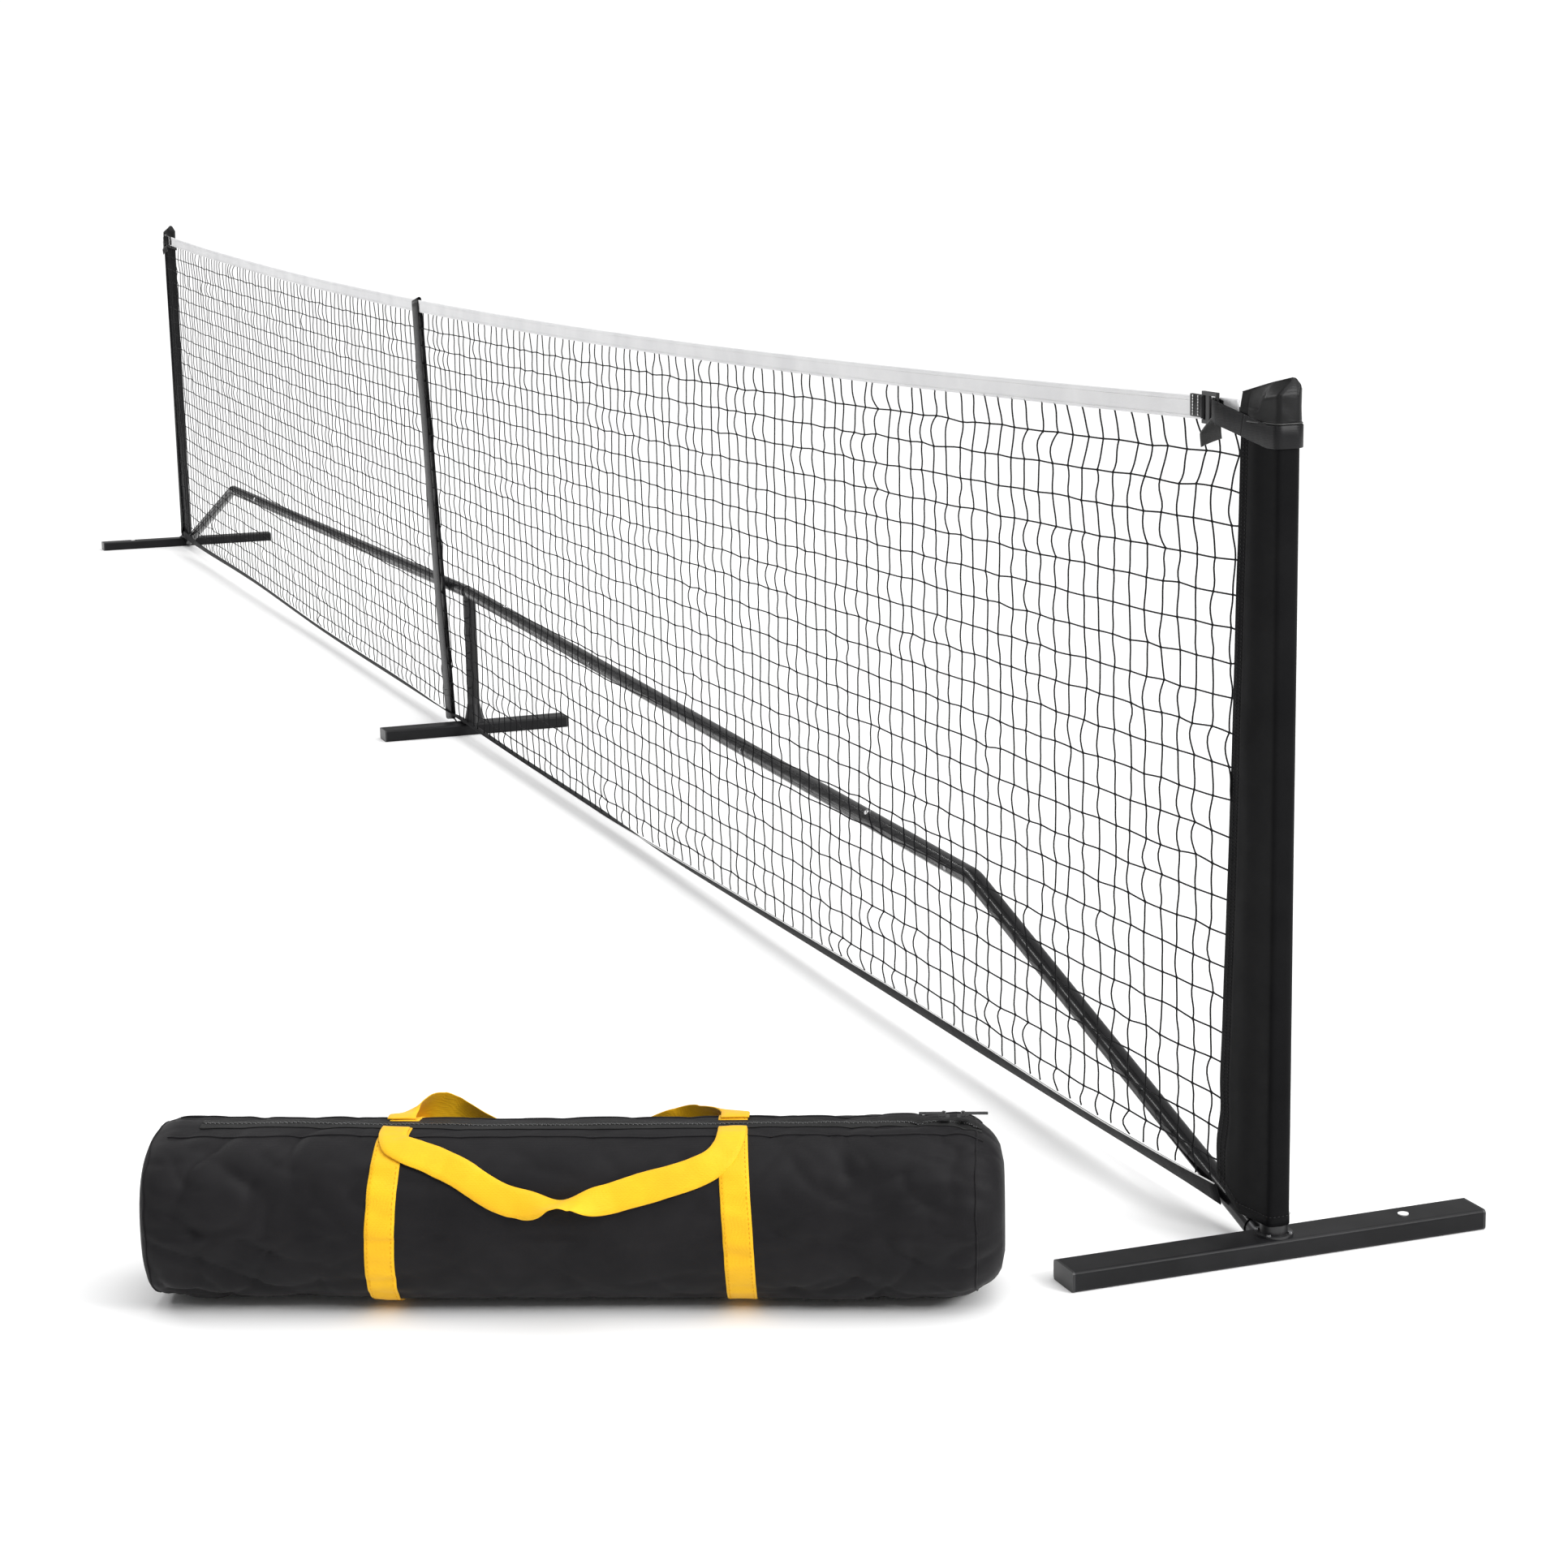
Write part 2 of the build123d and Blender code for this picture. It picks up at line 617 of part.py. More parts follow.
CAP_EDGE_Z = 926.0
CAP_BORE_TOP = 929.5
CAP_INSIDE_TOP = 922.0
for name, side in SIDES.items():
    with BuildPart() as cap:
        with BuildSketch(Plane.XY.offset(CAP_BOTTOM)):
            add(sleeve_outline(side, FLAP_TOP, CAP_GROWTH))
        extrude(amount=CAP_PEAK - CAP_BOTTOM)
        with BuildSketch(Plane.XZ):
            with BuildLine():
                Polyline(
                    (side * (POST_X - 2 * FLAP_TOP), CAP_EDGE_Z - CAP_PEAK + CAP_EDGE_Z),
                    (side * POST_X, CAP_PEAK),
                    (side * (POST_X - 2 * FLAP_TOP), CAP_PEAK),
                    close=True,
                )
            make_face()
        extrude(amount=2 * FOOT_WIDTH, both=True, mode=Mode.SUBTRACT)
        with BuildSketch(Plane.XY.offset(CAP_BOTTOM)):
            with Locations((side * POST_X, 0)):
                Circle(SLEEVE_BORE / 2)
        extrude(amount=CAP_BORE_TOP - CAP_BOTTOM, mode=Mode.SUBTRACT)
    save(cap.part, f"{name}_cap")

# --- Tension straps, buckles and their sewn tabs ---------------------------------------------
BAR_U = -121.0
BUCKLE_Y = -28.0
BUCKLE_LENGTH = 35.0
BUCKLE_HEIGHT = 34.0
BUCKLE_THICKNESS = 4.0
BUCKLE_ROUNDING = 1.5
RAIL_HEIGHT = 4.0
HINGE_BAR = 3.6
HINGE_BAR_INSET = 3.0
# The buckle's two flat bars: distance from the hinge bar, width, thickness and corner radius.
BUCKLE_BARS = ((10.0, 9.0, 3.0, 1.0), (29.5, 4.0, 4.0, 1.5))
TAB_RING_INNER = 4.2
TAB_RING_OUTER = 7.0
TAB_LENGTH = 37.0
TAB_THICKNESS = 2.0
TAB_Y = NET_Y - 2.4
TAB_NECK = (3.0, 3.6)
TAB_NECK_Y = NET_Y - 3.6
# The strap in plan, outboard of the post: from the buckle across the front, round, and back.
STRAP_ROUTE = (
    (-85.5, -31.2),
    (-53.0, -27.2),
    (17.6, -16.9),
    (17.2, 10.4),
    (10.6, 18.2),
    (-6.4, 18.2),
    (-54.0, -16.0),
    (-72.0, -19.2),
    (-178.0, -19.2),
)
TAIL_Y = -24.8
TAIL_ROUTE = ((-86.5, -31.2), (-95.6, -31.2), (-95.6, TAIL_Y), (-88.0, TAIL_Y))
# The hanging end of the tail, as (outboard, z), cut off on the slant.
TAIL_OUTLINE = ((-104, 864), (-88, 874), (-88, 900), (-95, 900), (-104, 884))


def plan(side, points):
    """Points outboard of the post at one end of the net, as x and y."""
    return [(side * (POST_X + out), y) for out, y in points]


for name, side in SIDES.items():
    with BuildPart() as tension_strap:
        with BuildSketch(Plane.XY.offset(BUCKLE_Z - 2 * STRAP_WIDTH)):
            with BuildLine():
                Polyline(*plan(side, STRAP_ROUTE))
            trace(line_width=STRAP_THICKNESS)
        extrude(amount=4 * STRAP_WIDTH)
        with BuildSketch(Plane.XZ):
            with BuildLine():
                half = STRAP_WIDTH / 2
                Polyline(
                    *plan(
                        side,
                        (
                            (40, WRAP_Z + half),
                            (0, WRAP_Z + half),
                            (-100, BUCKLE_Z + half),
                            (-200, BUCKLE_Z + half),
                            (-200, BUCKLE_Z - half),
                            (-100, BUCKLE_Z - half),
                            (0, WRAP_Z - half),
                            (40, WRAP_Z - half),
                        ),
                    ),
                    close=True,
                )
            make_face()
        extrude(amount=2 * FOOT_WIDTH, both=True, mode=Mode.INTERSECT)
    save(tension_strap.part, f"{name}_tension_strap")

    rail_low = BUCKLE_Z - BUCKLE_HEIGHT / 2
    buckle_centre = (side * (POST_X + BAR_U - HINGE_BAR_INSET + BUCKLE_LENGTH / 2), BUCKLE_Y)
    with BuildPart() as buckle:
        with BuildSketch(Plane.XY.offset(rail_low)):
            with Locations(buckle_centre):
                RectangleRounded(BUCKLE_LENGTH, BUCKLE_THICKNESS, BUCKLE_ROUNDING)
        extrude(amount=RAIL_HEIGHT)
        with BuildSketch(Plane.XY.offset(BUCKLE_Z + BUCKLE_HEIGHT / 2)):
            with Locations(buckle_centre):
                RectangleRounded(BUCKLE_LENGTH, BUCKLE_THICKNESS, BUCKLE_ROUNDING)
        extrude(amount=-RAIL_HEIGHT)
        with BuildSketch(Plane.XY.offset(rail_low)):
            with Locations((side * (POST_X + BAR_U), BUCKLE_Y)):
                Circle(HINGE_BAR / 2)
            for reach, width, thickness, rounding in BUCKLE_BARS:
                with Locations((side * (POST_X + BAR_U + reach), BUCKLE_Y)):
                    RectangleRounded(width, thickness, rounding)
        extrude(amount=BUCKLE_HEIGHT)
    save(buckle.part, f"{name}_buckle")

    with BuildPart() as strap_tail:
        with BuildSketch(Plane.XY.offset(BUCKLE_Z - STRAP_WIDTH / 2)):
            with BuildLine():
                Polyline(*plan(side, TAIL_ROUTE))
            trace(line_width=STRAP_THICKNESS)
        extrude(amount=STRAP_WIDTH)
        tail_face = Plane(origin=(side * POST_X, TAIL_Y, 0), x_dir=(side, 0, 0), z_dir=(0, -side, 0))
        with BuildSketch(tail_face):
            with BuildLine():
                Polyline(*TAIL_OUTLINE, close=True)
            make_face()
        extrude(amount=STRAP_THICKNESS / 2, both=True)
    save(strap_tail.part, f"{name}_strap_tail")

with BuildPart() as strap_tabs:
    for side in SIDES.values():
        with BuildSketch(Plane.XY.offset(BUCKLE_Z - STRAP_WIDTH / 2)):
            with Locations((side * (POST_X + BAR_U), BUCKLE_Y)):
                Circle(TAB_RING_OUTER / 2)
            with Locations((side * (POST_X + BAR_U - TAB_LENGTH / 2), TAB_Y)):
                Rectangle(TAB_LENGTH, TAB_THICKNESS)
            with Locations((side * (POST_X + BAR_U - TAB_NECK[0] / 2), TAB_NECK_Y)):
                Rectangle(*TAB_NECK)
            with Locations((side * (POST_X + BAR_U), BUCKLE_Y)):
                Circle(TAB_RING_INNER / 2, mode=Mode.SUBTRACT)
        extrude(amount=STRAP_WIDTH)
save(strap_tabs.part, "strap_tabs")

# --- Centre strap and its hook --------------------------------------------------------------
STRAP_TOP_X = -257.0
STRAP_BOTTOM_X = -107.0
CENTRE_STRAP_WIDTH = 50.0
CENTRE_STRAP_TOP = 866.9
CENTRE_STRAP_BOTTOM = 13.6
PLY_FRONT = NET_Y - 3.5
PLY_BACK = NET_Y + 3.5


def strap_band(bottom, top, front, back):
    """A solid between two heights that leans with the centre strap, from y front to back."""
    lean = (STRAP_TOP_X - STRAP_BOTTOM_X) / (CENTRE_STRAP_TOP - CENTRE_STRAP_BOTTOM)
    low_x = STRAP_BOTTOM_X + (bottom - CENTRE_STRAP_BOTTOM) * lean
    top_x = STRAP_BOTTOM_X + (top - CENTRE_STRAP_BOTTOM) * lean
    half = CENTRE_STRAP_WIDTH / 2
    with BuildPart() as band:
        with BuildSketch(Plane(origin=(0, front, 0), x_dir=(-1, 0, 0), z_dir=(0, 1, 0))):
            with BuildLine():
                Polyline(
                    (-low_x - half, bottom),
                    (-low_x + half, bottom),
                    (-top_x + half, top),
                    (-top_x - half, top),
                    close=True,
                )
            make_face()
        extrude(amount=back - front)
    return band.part


strap_outside = strap_band(CENTRE_STRAP_BOTTOM, CENTRE_STRAP_TOP, PLY_FRONT, PLY_BACK)
strap_inside = strap_band(
    CENTRE_STRAP_BOTTOM + STRAP_THICKNESS,
    CENTRE_STRAP_TOP - STRAP_THICKNESS,
    PLY_FRONT + STRAP_THICKNESS,
    PLY_BACK - STRAP_THICKNESS,
)
with BuildPart() as centre_strap:
    add(strap_outside)
    add(strap_inside, mode=Mode.SUBTRACT)
save(centre_strap.part, "centre_strap")

HOOK_ROD = 3.4
HOOK_TOP_Z = 17.0
with BuildPart() as centre_hook:
    with BuildLine() as hook_path:
        FilletPolyline(
            (-142, NET_Y, HOOK_TOP_Z),
            (-74, NET_Y, HOOK_TOP_Z),
            (-56, NET_Y, HOOK_Z),
            (-17, NET_Y, HOOK_Z),
            radius=12,
        )
    with BuildSketch(Plane(origin=(-142, NET_Y, HOOK_TOP_Z), z_dir=(1, 0, 0))):
        Circle(HOOK_ROD / 2)
    sweep(path=hook_path.wire())
save(centre_hook.part, "centre_hook")

# --- Carry bag --------------------------------------------------------------------------
AXIS = Vector(cos(radians(BAG_TURN)), sin(radians(BAG_TURN)), 0)
FRONT = Vector(sin(radians(BAG_TURN)), -cos(radians(BAG_TURN)), 0)
BAG_MID_Z = BAND_THICKNESS + BAG_HEIGHT / 2
BAG_TOP = BAND_THICKNESS + BAG_HEIGHT


def bag_point(along, front, z):
    """A point placed from the bag's middle on the ground."""
    return Vector(*BAG_CENTRE, z) + AXIS * along + FRONT * front


def bag_section(along):
    """The plane across the bag, with x toward its back and y up."""
    return Plane(origin=bag_point(along, 0, BAG_MID_Z), x_dir=-FRONT, z_dir=AXIS)


BAG_END_ROUNDING = 22.0
with BuildPart() as bag_body:
    with BuildSketch(bag_section(-BAG_LENGTH / 2)):
        RectangleRounded(BAG_DEPTH, BAG_HEIGHT, BAG_CORNER)
    extrude(amount=BAG_LENGTH)
    bag_axis = Axis(bag_point(0, 0, BAG_MID_Z), AXIS)
    end_faces = bag_body.faces().sort_by(bag_axis)
    fillet(end_faces[0].edges() + end_faces[-1].edges(), BAG_END_ROUNDING)
save(bag_body.part, "bag_body")


def bag_skin(start, end, inner, outer):
    """A tube round the bag between two places, from inner to outer above its surface."""
    with BuildPart() as skin:
        with BuildSketch(bag_section(start)):
            RectangleRounded(BAG_DEPTH + 2 * outer, BAG_HEIGHT + 2 * outer, BAG_CORNER + outer)
            RectangleRounded(
                BAG_DEPTH + 2 * inner, BAG_HEIGHT + 2 * inner, BAG_CORNER + inner, mode=Mode.SUBTRACT
            )
        extrude(amount=end - start)
    return skin.part


ZIP_GAP = 35.0
band_loops = [bag_skin(b - BAND_WIDTH / 2, b + BAND_WIDTH / 2, 0, BAND_THICKNESS) for b in BAND_PLACES]
with BuildPart() as bag_bands:
    for band_loop in band_loops:
        add(band_loop)
    with BuildSketch(bag_section(-BAG_LENGTH / 2)):
        with Locations((0, BAG_HEIGHT / 2)):
            Rectangle(2 * ZIP_GAP, BAG_HEIGHT / 2)
    extrude(amount=BAG_LENGTH, mode=Mode.SUBTRACT)
save(bag_bands.part, "bag_bands")

HANDLE_TOP = 180.0
HANDLE_WIDTH = 30.0
HANDLE_INNER = BAND_THICKNESS + 0.4
HANDLE_OUTER = HANDLE_INNER + 2.5
HANDLE_ROUTE = (
    (BAND_PLACES[0] + 2, 198),
    (-178, 181),
    (-144, 172),
    (-110, 158),
    (-76, 137),
    (-50, 129),
    (33, 133),
    (68, 142),
    (144, 163),
    (160, 178),
    (BAND_PLACES[1] - 4, 198),
)
handle_skin = bag_skin(
    BAND_PLACES[0] - BAND_WIDTH, BAND_PLACES[1] + BAND_WIDTH, HANDLE_INNER, HANDLE_OUTER
)
for name, facing in {"front": 1, "back": -1}.items():
    with BuildPart() as handle:
        add(handle_skin)
        handle_plane = Plane(
            origin=bag_point(0, 0, 0), x_dir=AXIS * facing, z_dir=FRONT * facing
        )
        with BuildSketch(handle_plane):
            with BuildLine():
                Polyline(*[(along * facing, z) for along, z in HANDLE_ROUTE])
            trace(line_width=HANDLE_WIDTH)
            with Locations((0, HANDLE_TOP + BAG_HEIGHT / 2)):
                Rectangle(BAG_LENGTH, BAG_HEIGHT, mode=Mode.SUBTRACT)
        extrude(amount=BAG_DEPTH, mode=Mode.INTERSECT)
    save(handle.part, f"{name}_handle")

# --- Zip --------------------------------------------------------------------------------
ZIP_TAPE_WIDTH = 28.0
ZIP_TAPE_THICKNESS = 1.4
ZIP_CHAIN_WIDTH = 5.0
ZIP_CHAIN_HEIGHT = 2.1
ZIP_START = -395.0
ZIP_END = 424.0
with BuildPart() as bag_zip_tape:
    with BuildSketch(bag_section(ZIP_START)):
        with Locations((0, BAG_HEIGHT / 2 + ZIP_TAPE_THICKNESS / 2)):
            Rectangle(ZIP_TAPE_WIDTH, ZIP_TAPE_THICKNESS)
        with Locations((0, BAG_HEIGHT / 2 + ZIP_CHAIN_HEIGHT / 2)):
            Rectangle(ZIP_CHAIN_WIDTH, ZIP_CHAIN_HEIGHT)
    extrude(amount=ZIP_END - ZIP_START)
save(bag_zip_tape.part, "bag_zip_tape")

SLIDER_PLACES = {"a": (385.0, -1), "b": (405.0, 1)}
SLIDER_LENGTH = 12.0
SLIDER_WIDTH = 11.0
SLIDER_BOTTOM = BAG_TOP + ZIP_TAPE_THICKNESS + 0.3
SLIDER_TOP = BAG_TOP + 6.2
SLIDER_GROOVE = ZIP_CHAIN_WIDTH + 0.7
PIN_Z = SLIDER_TOP + 2.4
PIN_DIAMETER = 1.8
PULL_EYE = 2.0
PULL_LENGTH = 26.0
LUG_THICKNESS = 1.6
LUG_GAP = 5.4
for letter, (place, toward) in SLIDER_PLACES.items():
    across = bag_section(place - SLIDER_LENGTH / 2)
    side_on = Plane(origin=bag_point(place, 0, 0), x_dir=AXIS, z_dir=FRONT)
    with BuildPart() as slider:
        with BuildSketch(across):
            with Locations((0, (SLIDER_BOTTOM + SLIDER_TOP) / 2 - BAG_MID_Z)):
                Rectangle(SLIDER_WIDTH, SLIDER_TOP - SLIDER_BOTTOM)
            with Locations((0, BAG_HEIGHT / 2)):
                Rectangle(SLIDER_GROOVE, 2 * ZIP_CHAIN_HEIGHT + 0.8, mode=Mode.SUBTRACT)
        extrude(amount=SLIDER_LENGTH)
        for lug_side in (1, -1):
            with BuildSketch(side_on.offset(lug_side * LUG_GAP / 2)):
                with Locations((0, PIN_Z - 1.2)):
                    RectangleRounded(4.4, 5.2, 1.2)
            extrude(amount=lug_side * LUG_THICKNESS)
        with BuildSketch(side_on):
            with Locations((0, PIN_Z)):
                Circle(PIN_DIAMETER / 2)
        extrude(amount=LUG_GAP / 2 + 0.5, both=True)
    save(slider.part, f"zip_slider_{letter}")

    with BuildPart() as pull:
        with BuildSketch(side_on):
            with Locations((toward * PULL_LENGTH / 2, PIN_Z)):
                RectangleRounded(PULL_LENGTH, 1.8, 0.8)
            with Locations((0, PIN_Z)):
                Circle(2.1)
                Circle(PULL_EYE / 2, mode=Mode.SUBTRACT)
        extrude(amount=LUG_GAP / 2 - 0.3, both=True)
    save(pull.part, f"zip_pull_{letter}")
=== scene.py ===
"""Looks for the portable court net: camera, studio, fabric, netting, webbing and the carry bag.

Metres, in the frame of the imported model: X runs along the net with the near end at +X, -Y is
the side on which the net hangs in front of the tube frame, +Z is up.
"""

import json
from math import asin, cos, exp, pi, radians, sin

import bmesh
import bpy
import numpy as np
from mathutils import Matrix, Vector, noise


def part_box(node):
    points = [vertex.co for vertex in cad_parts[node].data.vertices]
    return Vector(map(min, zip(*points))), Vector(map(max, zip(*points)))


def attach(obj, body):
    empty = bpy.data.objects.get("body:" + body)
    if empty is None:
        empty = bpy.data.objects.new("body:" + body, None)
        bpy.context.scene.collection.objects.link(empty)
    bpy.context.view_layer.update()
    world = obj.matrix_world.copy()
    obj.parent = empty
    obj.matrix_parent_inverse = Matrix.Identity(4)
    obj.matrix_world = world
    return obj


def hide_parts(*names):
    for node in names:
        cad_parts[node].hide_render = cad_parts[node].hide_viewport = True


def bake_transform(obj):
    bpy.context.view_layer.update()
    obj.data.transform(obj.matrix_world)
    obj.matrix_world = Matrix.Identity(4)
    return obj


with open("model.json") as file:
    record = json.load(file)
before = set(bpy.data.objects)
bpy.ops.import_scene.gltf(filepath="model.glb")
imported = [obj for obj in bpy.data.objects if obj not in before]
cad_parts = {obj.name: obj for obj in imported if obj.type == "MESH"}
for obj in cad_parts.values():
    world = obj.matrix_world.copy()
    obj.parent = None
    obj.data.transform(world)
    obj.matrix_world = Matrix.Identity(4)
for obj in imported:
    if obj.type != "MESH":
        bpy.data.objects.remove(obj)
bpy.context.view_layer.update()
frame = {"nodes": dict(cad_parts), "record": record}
nodes = frame["nodes"]
scene = bpy.context.scene

SIDES = {"near": 1, "far": -1}
ROOT = "net_set"


def add_object(name, data):
    """A new object in the scene."""
    obj = bpy.data.objects.new(name, data)
    scene.collection.objects.link(obj)
    return obj


# --- Camera ---
CAMERA_PLACE = (6.2744, -1.6166, 1.2082)
CAMERA_YAW = radians(20.018)
CAMERA_PITCH = radians(11.636)
CAMERA_ROLL = radians(-1.118)
SENSOR = 36.0
LENS = 73.80


def make_camera():
    """The view along the net from beyond its near end, a little above the tape."""
    level = cos(CAMERA_PITCH)
    look = Vector((-cos(CAMERA_YAW) * level, sin(CAMERA_YAW) * level, -sin(CAMERA_PITCH)))
    across = look.cross(Vector((0, 0, 1))).normalized()
    upright = across.cross(look)
    right = across * cos(CAMERA_ROLL) + upright * sin(CAMERA_ROLL)
    up = upright * cos(CAMERA_ROLL) - across * sin(CAMERA_ROLL)
    data = bpy.data.cameras.new("camera")
    data.sensor_width = SENSOR
    data.lens = LENS
    data.clip_start = 0.05
    data.clip_end = 60
    camera = add_object("camera", data)
    turn = Matrix((right, up, -look)).transposed()
    camera.matrix_world = Matrix.Translation(CAMERA_PLACE) @ turn.to_4x4()
    scene.camera = camera


make_camera()


# --- Mesh helpers ---
def add_mesh(name, verts, faces):
    """A smooth-shaded mesh object from points and faces."""
    mesh = bpy.data.meshes.new(name)
    mesh.from_pydata([tuple(v) for v in np.asarray(verts, float).tolist()], [], faces)
    mesh.polygons.foreach_set("use_smooth", [True] * len(mesh.polygons))
    shape = bmesh.new()
    shape.from_mesh(mesh)
    bmesh.ops.recalc_face_normals(shape, faces=shape.faces)
    shape.to_mesh(mesh)
    shape.free()
    mesh.update()
    return add_object(name, mesh)


def piece(name, shape, body, slot, *replaced, look=None):
    """A shape put on its body with the material of its look, or else of its slot, and the nodes it replaces
    hidden.
    """
    obj = add_mesh(name, *shape)
    obj.data.materials.append(MATERIALS[look or slot])
    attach(obj, body)
    if replaced:
        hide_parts(*replaced)
    return obj


def wander(*axes):
    """Noise at many places, whose three coordinates are arrays or single numbers."""
    spots = np.broadcast(*axes)
    return np.array([noise.noise(spot) for spot in spots]).reshape(spots.shape)


def unit(vectors):
    """Vectors scaled to length 1."""
    vectors = np.asarray(vectors, float)
    return vectors / np.maximum(np.linalg.norm(vectors, axis=-1, keepdims=True), 1e-12)


def smooth_path(points, steps):
    """A Catmull-Rom curve through the points, steps to each span. Extra columns ride along."""
    points = np.asarray(points, float)
    padded = np.vstack([2 * points[0] - points[1], points, 2 * points[-1] - points[-2]])
    out = []
    for i in range(1, len(padded) - 2):
        a, b, c, d = padded[i - 1 : i + 3]
        for k in range(steps):
            s = k / steps
            bend = (2 * a - 5 * b + 4 * c - d) * s**2 + (3 * b - a - 3 * c + d) * s**3
            out.append(0.5 * (2 * b + (c - a) * s + bend))
    out.append(points[-1])
    return np.array(out)


def sampled(points, at, known):
    """Points read off at other places along a run, given the places they stand at."""
    return np.column_stack([np.interp(at, known, column) for column in points.T])


def grid_faces(rows, columns, wrap):
    """Quads over a grid of rows by columns, each row closed on itself if wrap is true."""
    faces = []
    for i in range(rows - 1):
        for j in range(columns if wrap else columns - 1):
            k = (j + 1) % columns
            faces.append((i * columns + j, i * columns + k, (i + 1) * columns + k, (i + 1) * columns + j))
    return faces


def tube_faces(rows, count):
    """The quads of a tube with count points to each row, and its two closed ends."""
    ends = [tuple(reversed(range(count))), tuple(range((rows - 1) * count, rows * count))]
    return grid_faces(rows, count, True) + ends


def sweep_section(path, across, out, section):
    """A closed section carried along a path. across and out are the section's own axes."""
    path, section = np.asarray(path, float), np.asarray(section, float)
    across, out = (np.broadcast_to(a, path.shape) for a in (across, out))
    wide, deep = section[None, :, 0:1], section[None, :, 1:2]
    verts = path[:, None] + across[:, None] * wide + out[:, None] * deep
    return verts.reshape(-1, 3), tube_faces(len(path), len(section))


def band_section(width, thickness):
    """The section of a flat woven band with softly rounded edges."""
    w, t = width / 2, thickness / 2
    inner = w - t
    low = [(-inner, -t), (0, -t), (inner, -t), (w, -t * 0.3)]
    high = [(w, t * 0.3), (inner, t), (0, t), (-inner, t)]
    return [*low, *high, (-w, t * 0.3), (-w, -t * 0.3)]


def round_section(radius, sides):
    """A circle as a section."""
    return [(radius * cos(2 * pi * k / sides), radius * sin(2 * pi * k / sides)) for k in range(sides)]


def tangents(path):
    """Unit tangents along a path."""
    return unit(np.gradient(np.asarray(path, float), axis=0))


def band(path, face_normal, width, thickness):
    """A flat band along a path, facing face_normal."""
    along = tangents(path)
    out = np.asarray(face_normal, float) * np.ones_like(along)
    out = unit(out - along * np.sum(out * along, axis=1, keepdims=True))
    return sweep_section(path, np.cross(out, along), out, band_section(width, thickness))


def rod(path, radius, sides=12, reference=(0, 0, 1)):
    """A round rod along a path that never runs along the reference direction."""
    along = tangents(path)
    across = unit(np.cross(along, np.asarray(reference, float)))
    out = np.cross(across, along)
    return sweep_section(path, across, out, round_section(radius, sides))


def join(*shapes):
    """Several (points, faces) shapes as one."""
    verts, faces, start = [], [], 0
    for points, quads in shapes:
        verts.append(np.asarray(points, float))
        faces.extend(tuple(start + i for i in face) for face in quads)
        start += len(points)
    return np.vstack(verts), faces


def dashed(line):
    """Every other span of a line, for stitches."""
    return [(line[k], line[k + 1]) for k in range(0, len(line) - 1, 2)]


def strands(lines, radius, sides, reference):
    """Many thin tubes at once: lines is (strand, point, xyz)."""
    lines = np.asarray(lines, float)
    along = unit(np.gradient(lines, axis=1))
    across = unit(np.cross(along, np.asarray(reference, float)))
    out = np.cross(across, along)
    count, length = lines.shape[:2]
    angle = 2 * pi * np.arange(sides) / sides
    ring = across[:, :, None] * np.cos(angle)[None, None, :, None]
    ring = ring + out[:, :, None] * np.sin(angle)[None, None, :, None]
    verts = (lines[:, :, None] + radius * ring).reshape(-1, 3)
    quads = np.array(grid_faces(length, sides, True))
    offsets = np.arange(count)[:, None, None] * length * sides
    faces = [tuple(f) for f in (quads[None] + offsets).reshape(-1, 4).tolist()]
    for k in range(count):
        first, last = k * length * sides, (k * length + length - 1) * sides
        faces.append(tuple(first + i for i in reversed(range(sides))))
        faces.append(tuple(last + i for i in range(sides)))
    return verts, faces


# --- Materials ---
class Look:
    """A node material while it is made: its shader, and helpers for its nodes."""

    def __init__(self, name):
        self.material = bpy.data.materials.new(name)
        self.material.use_nodes = True
        self.tree = self.material.node_tree
        self.shader = next(n for n in self.tree.nodes if n.type == "BSDF_PRINCIPLED")
        self.where = self.add("TexCoord").outputs["Object"]

    def fill(self, node, **values):
        """Set a node's inputs and settings by name. An output given as a value is linked."""
        for key, value in values.items():
            if isinstance(value, bpy.types.NodeSocket):
                self.tree.links.new(value, node.inputs[key])
            elif key in node.inputs:
                node.inputs[key].default_value = value
            else:
                setattr(node, key, value)
        return node

    def add(self, kind, **values):
        return self.fill(self.tree.nodes.new("ShaderNode" + kind), **values)

    def noise(self, scale, detail, **more):
        node = self.add("TexNoise", Scale=scale, Detail=detail, Vector=self.where, **more)
        return node.outputs["Fac"]

    def tones(self, dark, light, scale, detail=4.0):
        """Colour that wanders between two tones, each a grey or a colour."""
        ramp = self.add("ValToRGB", Fac=self.noise(scale, detail))
        stops = ramp.color_ramp.elements
        for stop, position, tone in zip(stops, (0.3, 0.72), (dark, light)):
            stop.position = position
            stop.color = (*np.broadcast_to(tone, 3), 1)
        self.fill(self.shader, **{"Base Color": ramp.outputs["Color"]})

    def roughness(self, low, high, scale):
        """Roughness that wanders between two values."""
        spread = self.add("MapRange", Value=self.noise(scale, 3.0), **{"To Min": low, "To Max": high})
        self.fill(self.shader, Roughness=spread.outputs["Result"])


PEEL_DEPTH = 0.00002


def coated(name, dark, light, rough, coat=0.0, metallic=0.0, grain=2600.0, specular=0.5):
    """Painted or powder-coated metal: fine orange peel, wandering sheen and tone."""
    look = Look(name)
    look.tones(dark, light, 18.0)
    look.roughness(*rough, 30.0)
    bump = look.add("Bump", Height=look.noise(grain, 2.0), Strength=0.35, Distance=PEEL_DEPTH)
    look.fill(look.shader, Normal=bump.outputs["Normal"], Metallic=metallic)
    extra = {"Specular IOR Level": specular, "Coat Weight": coat, "Coat Roughness": 0.12}
    look.fill(look.shader, **extra)
    return look.material


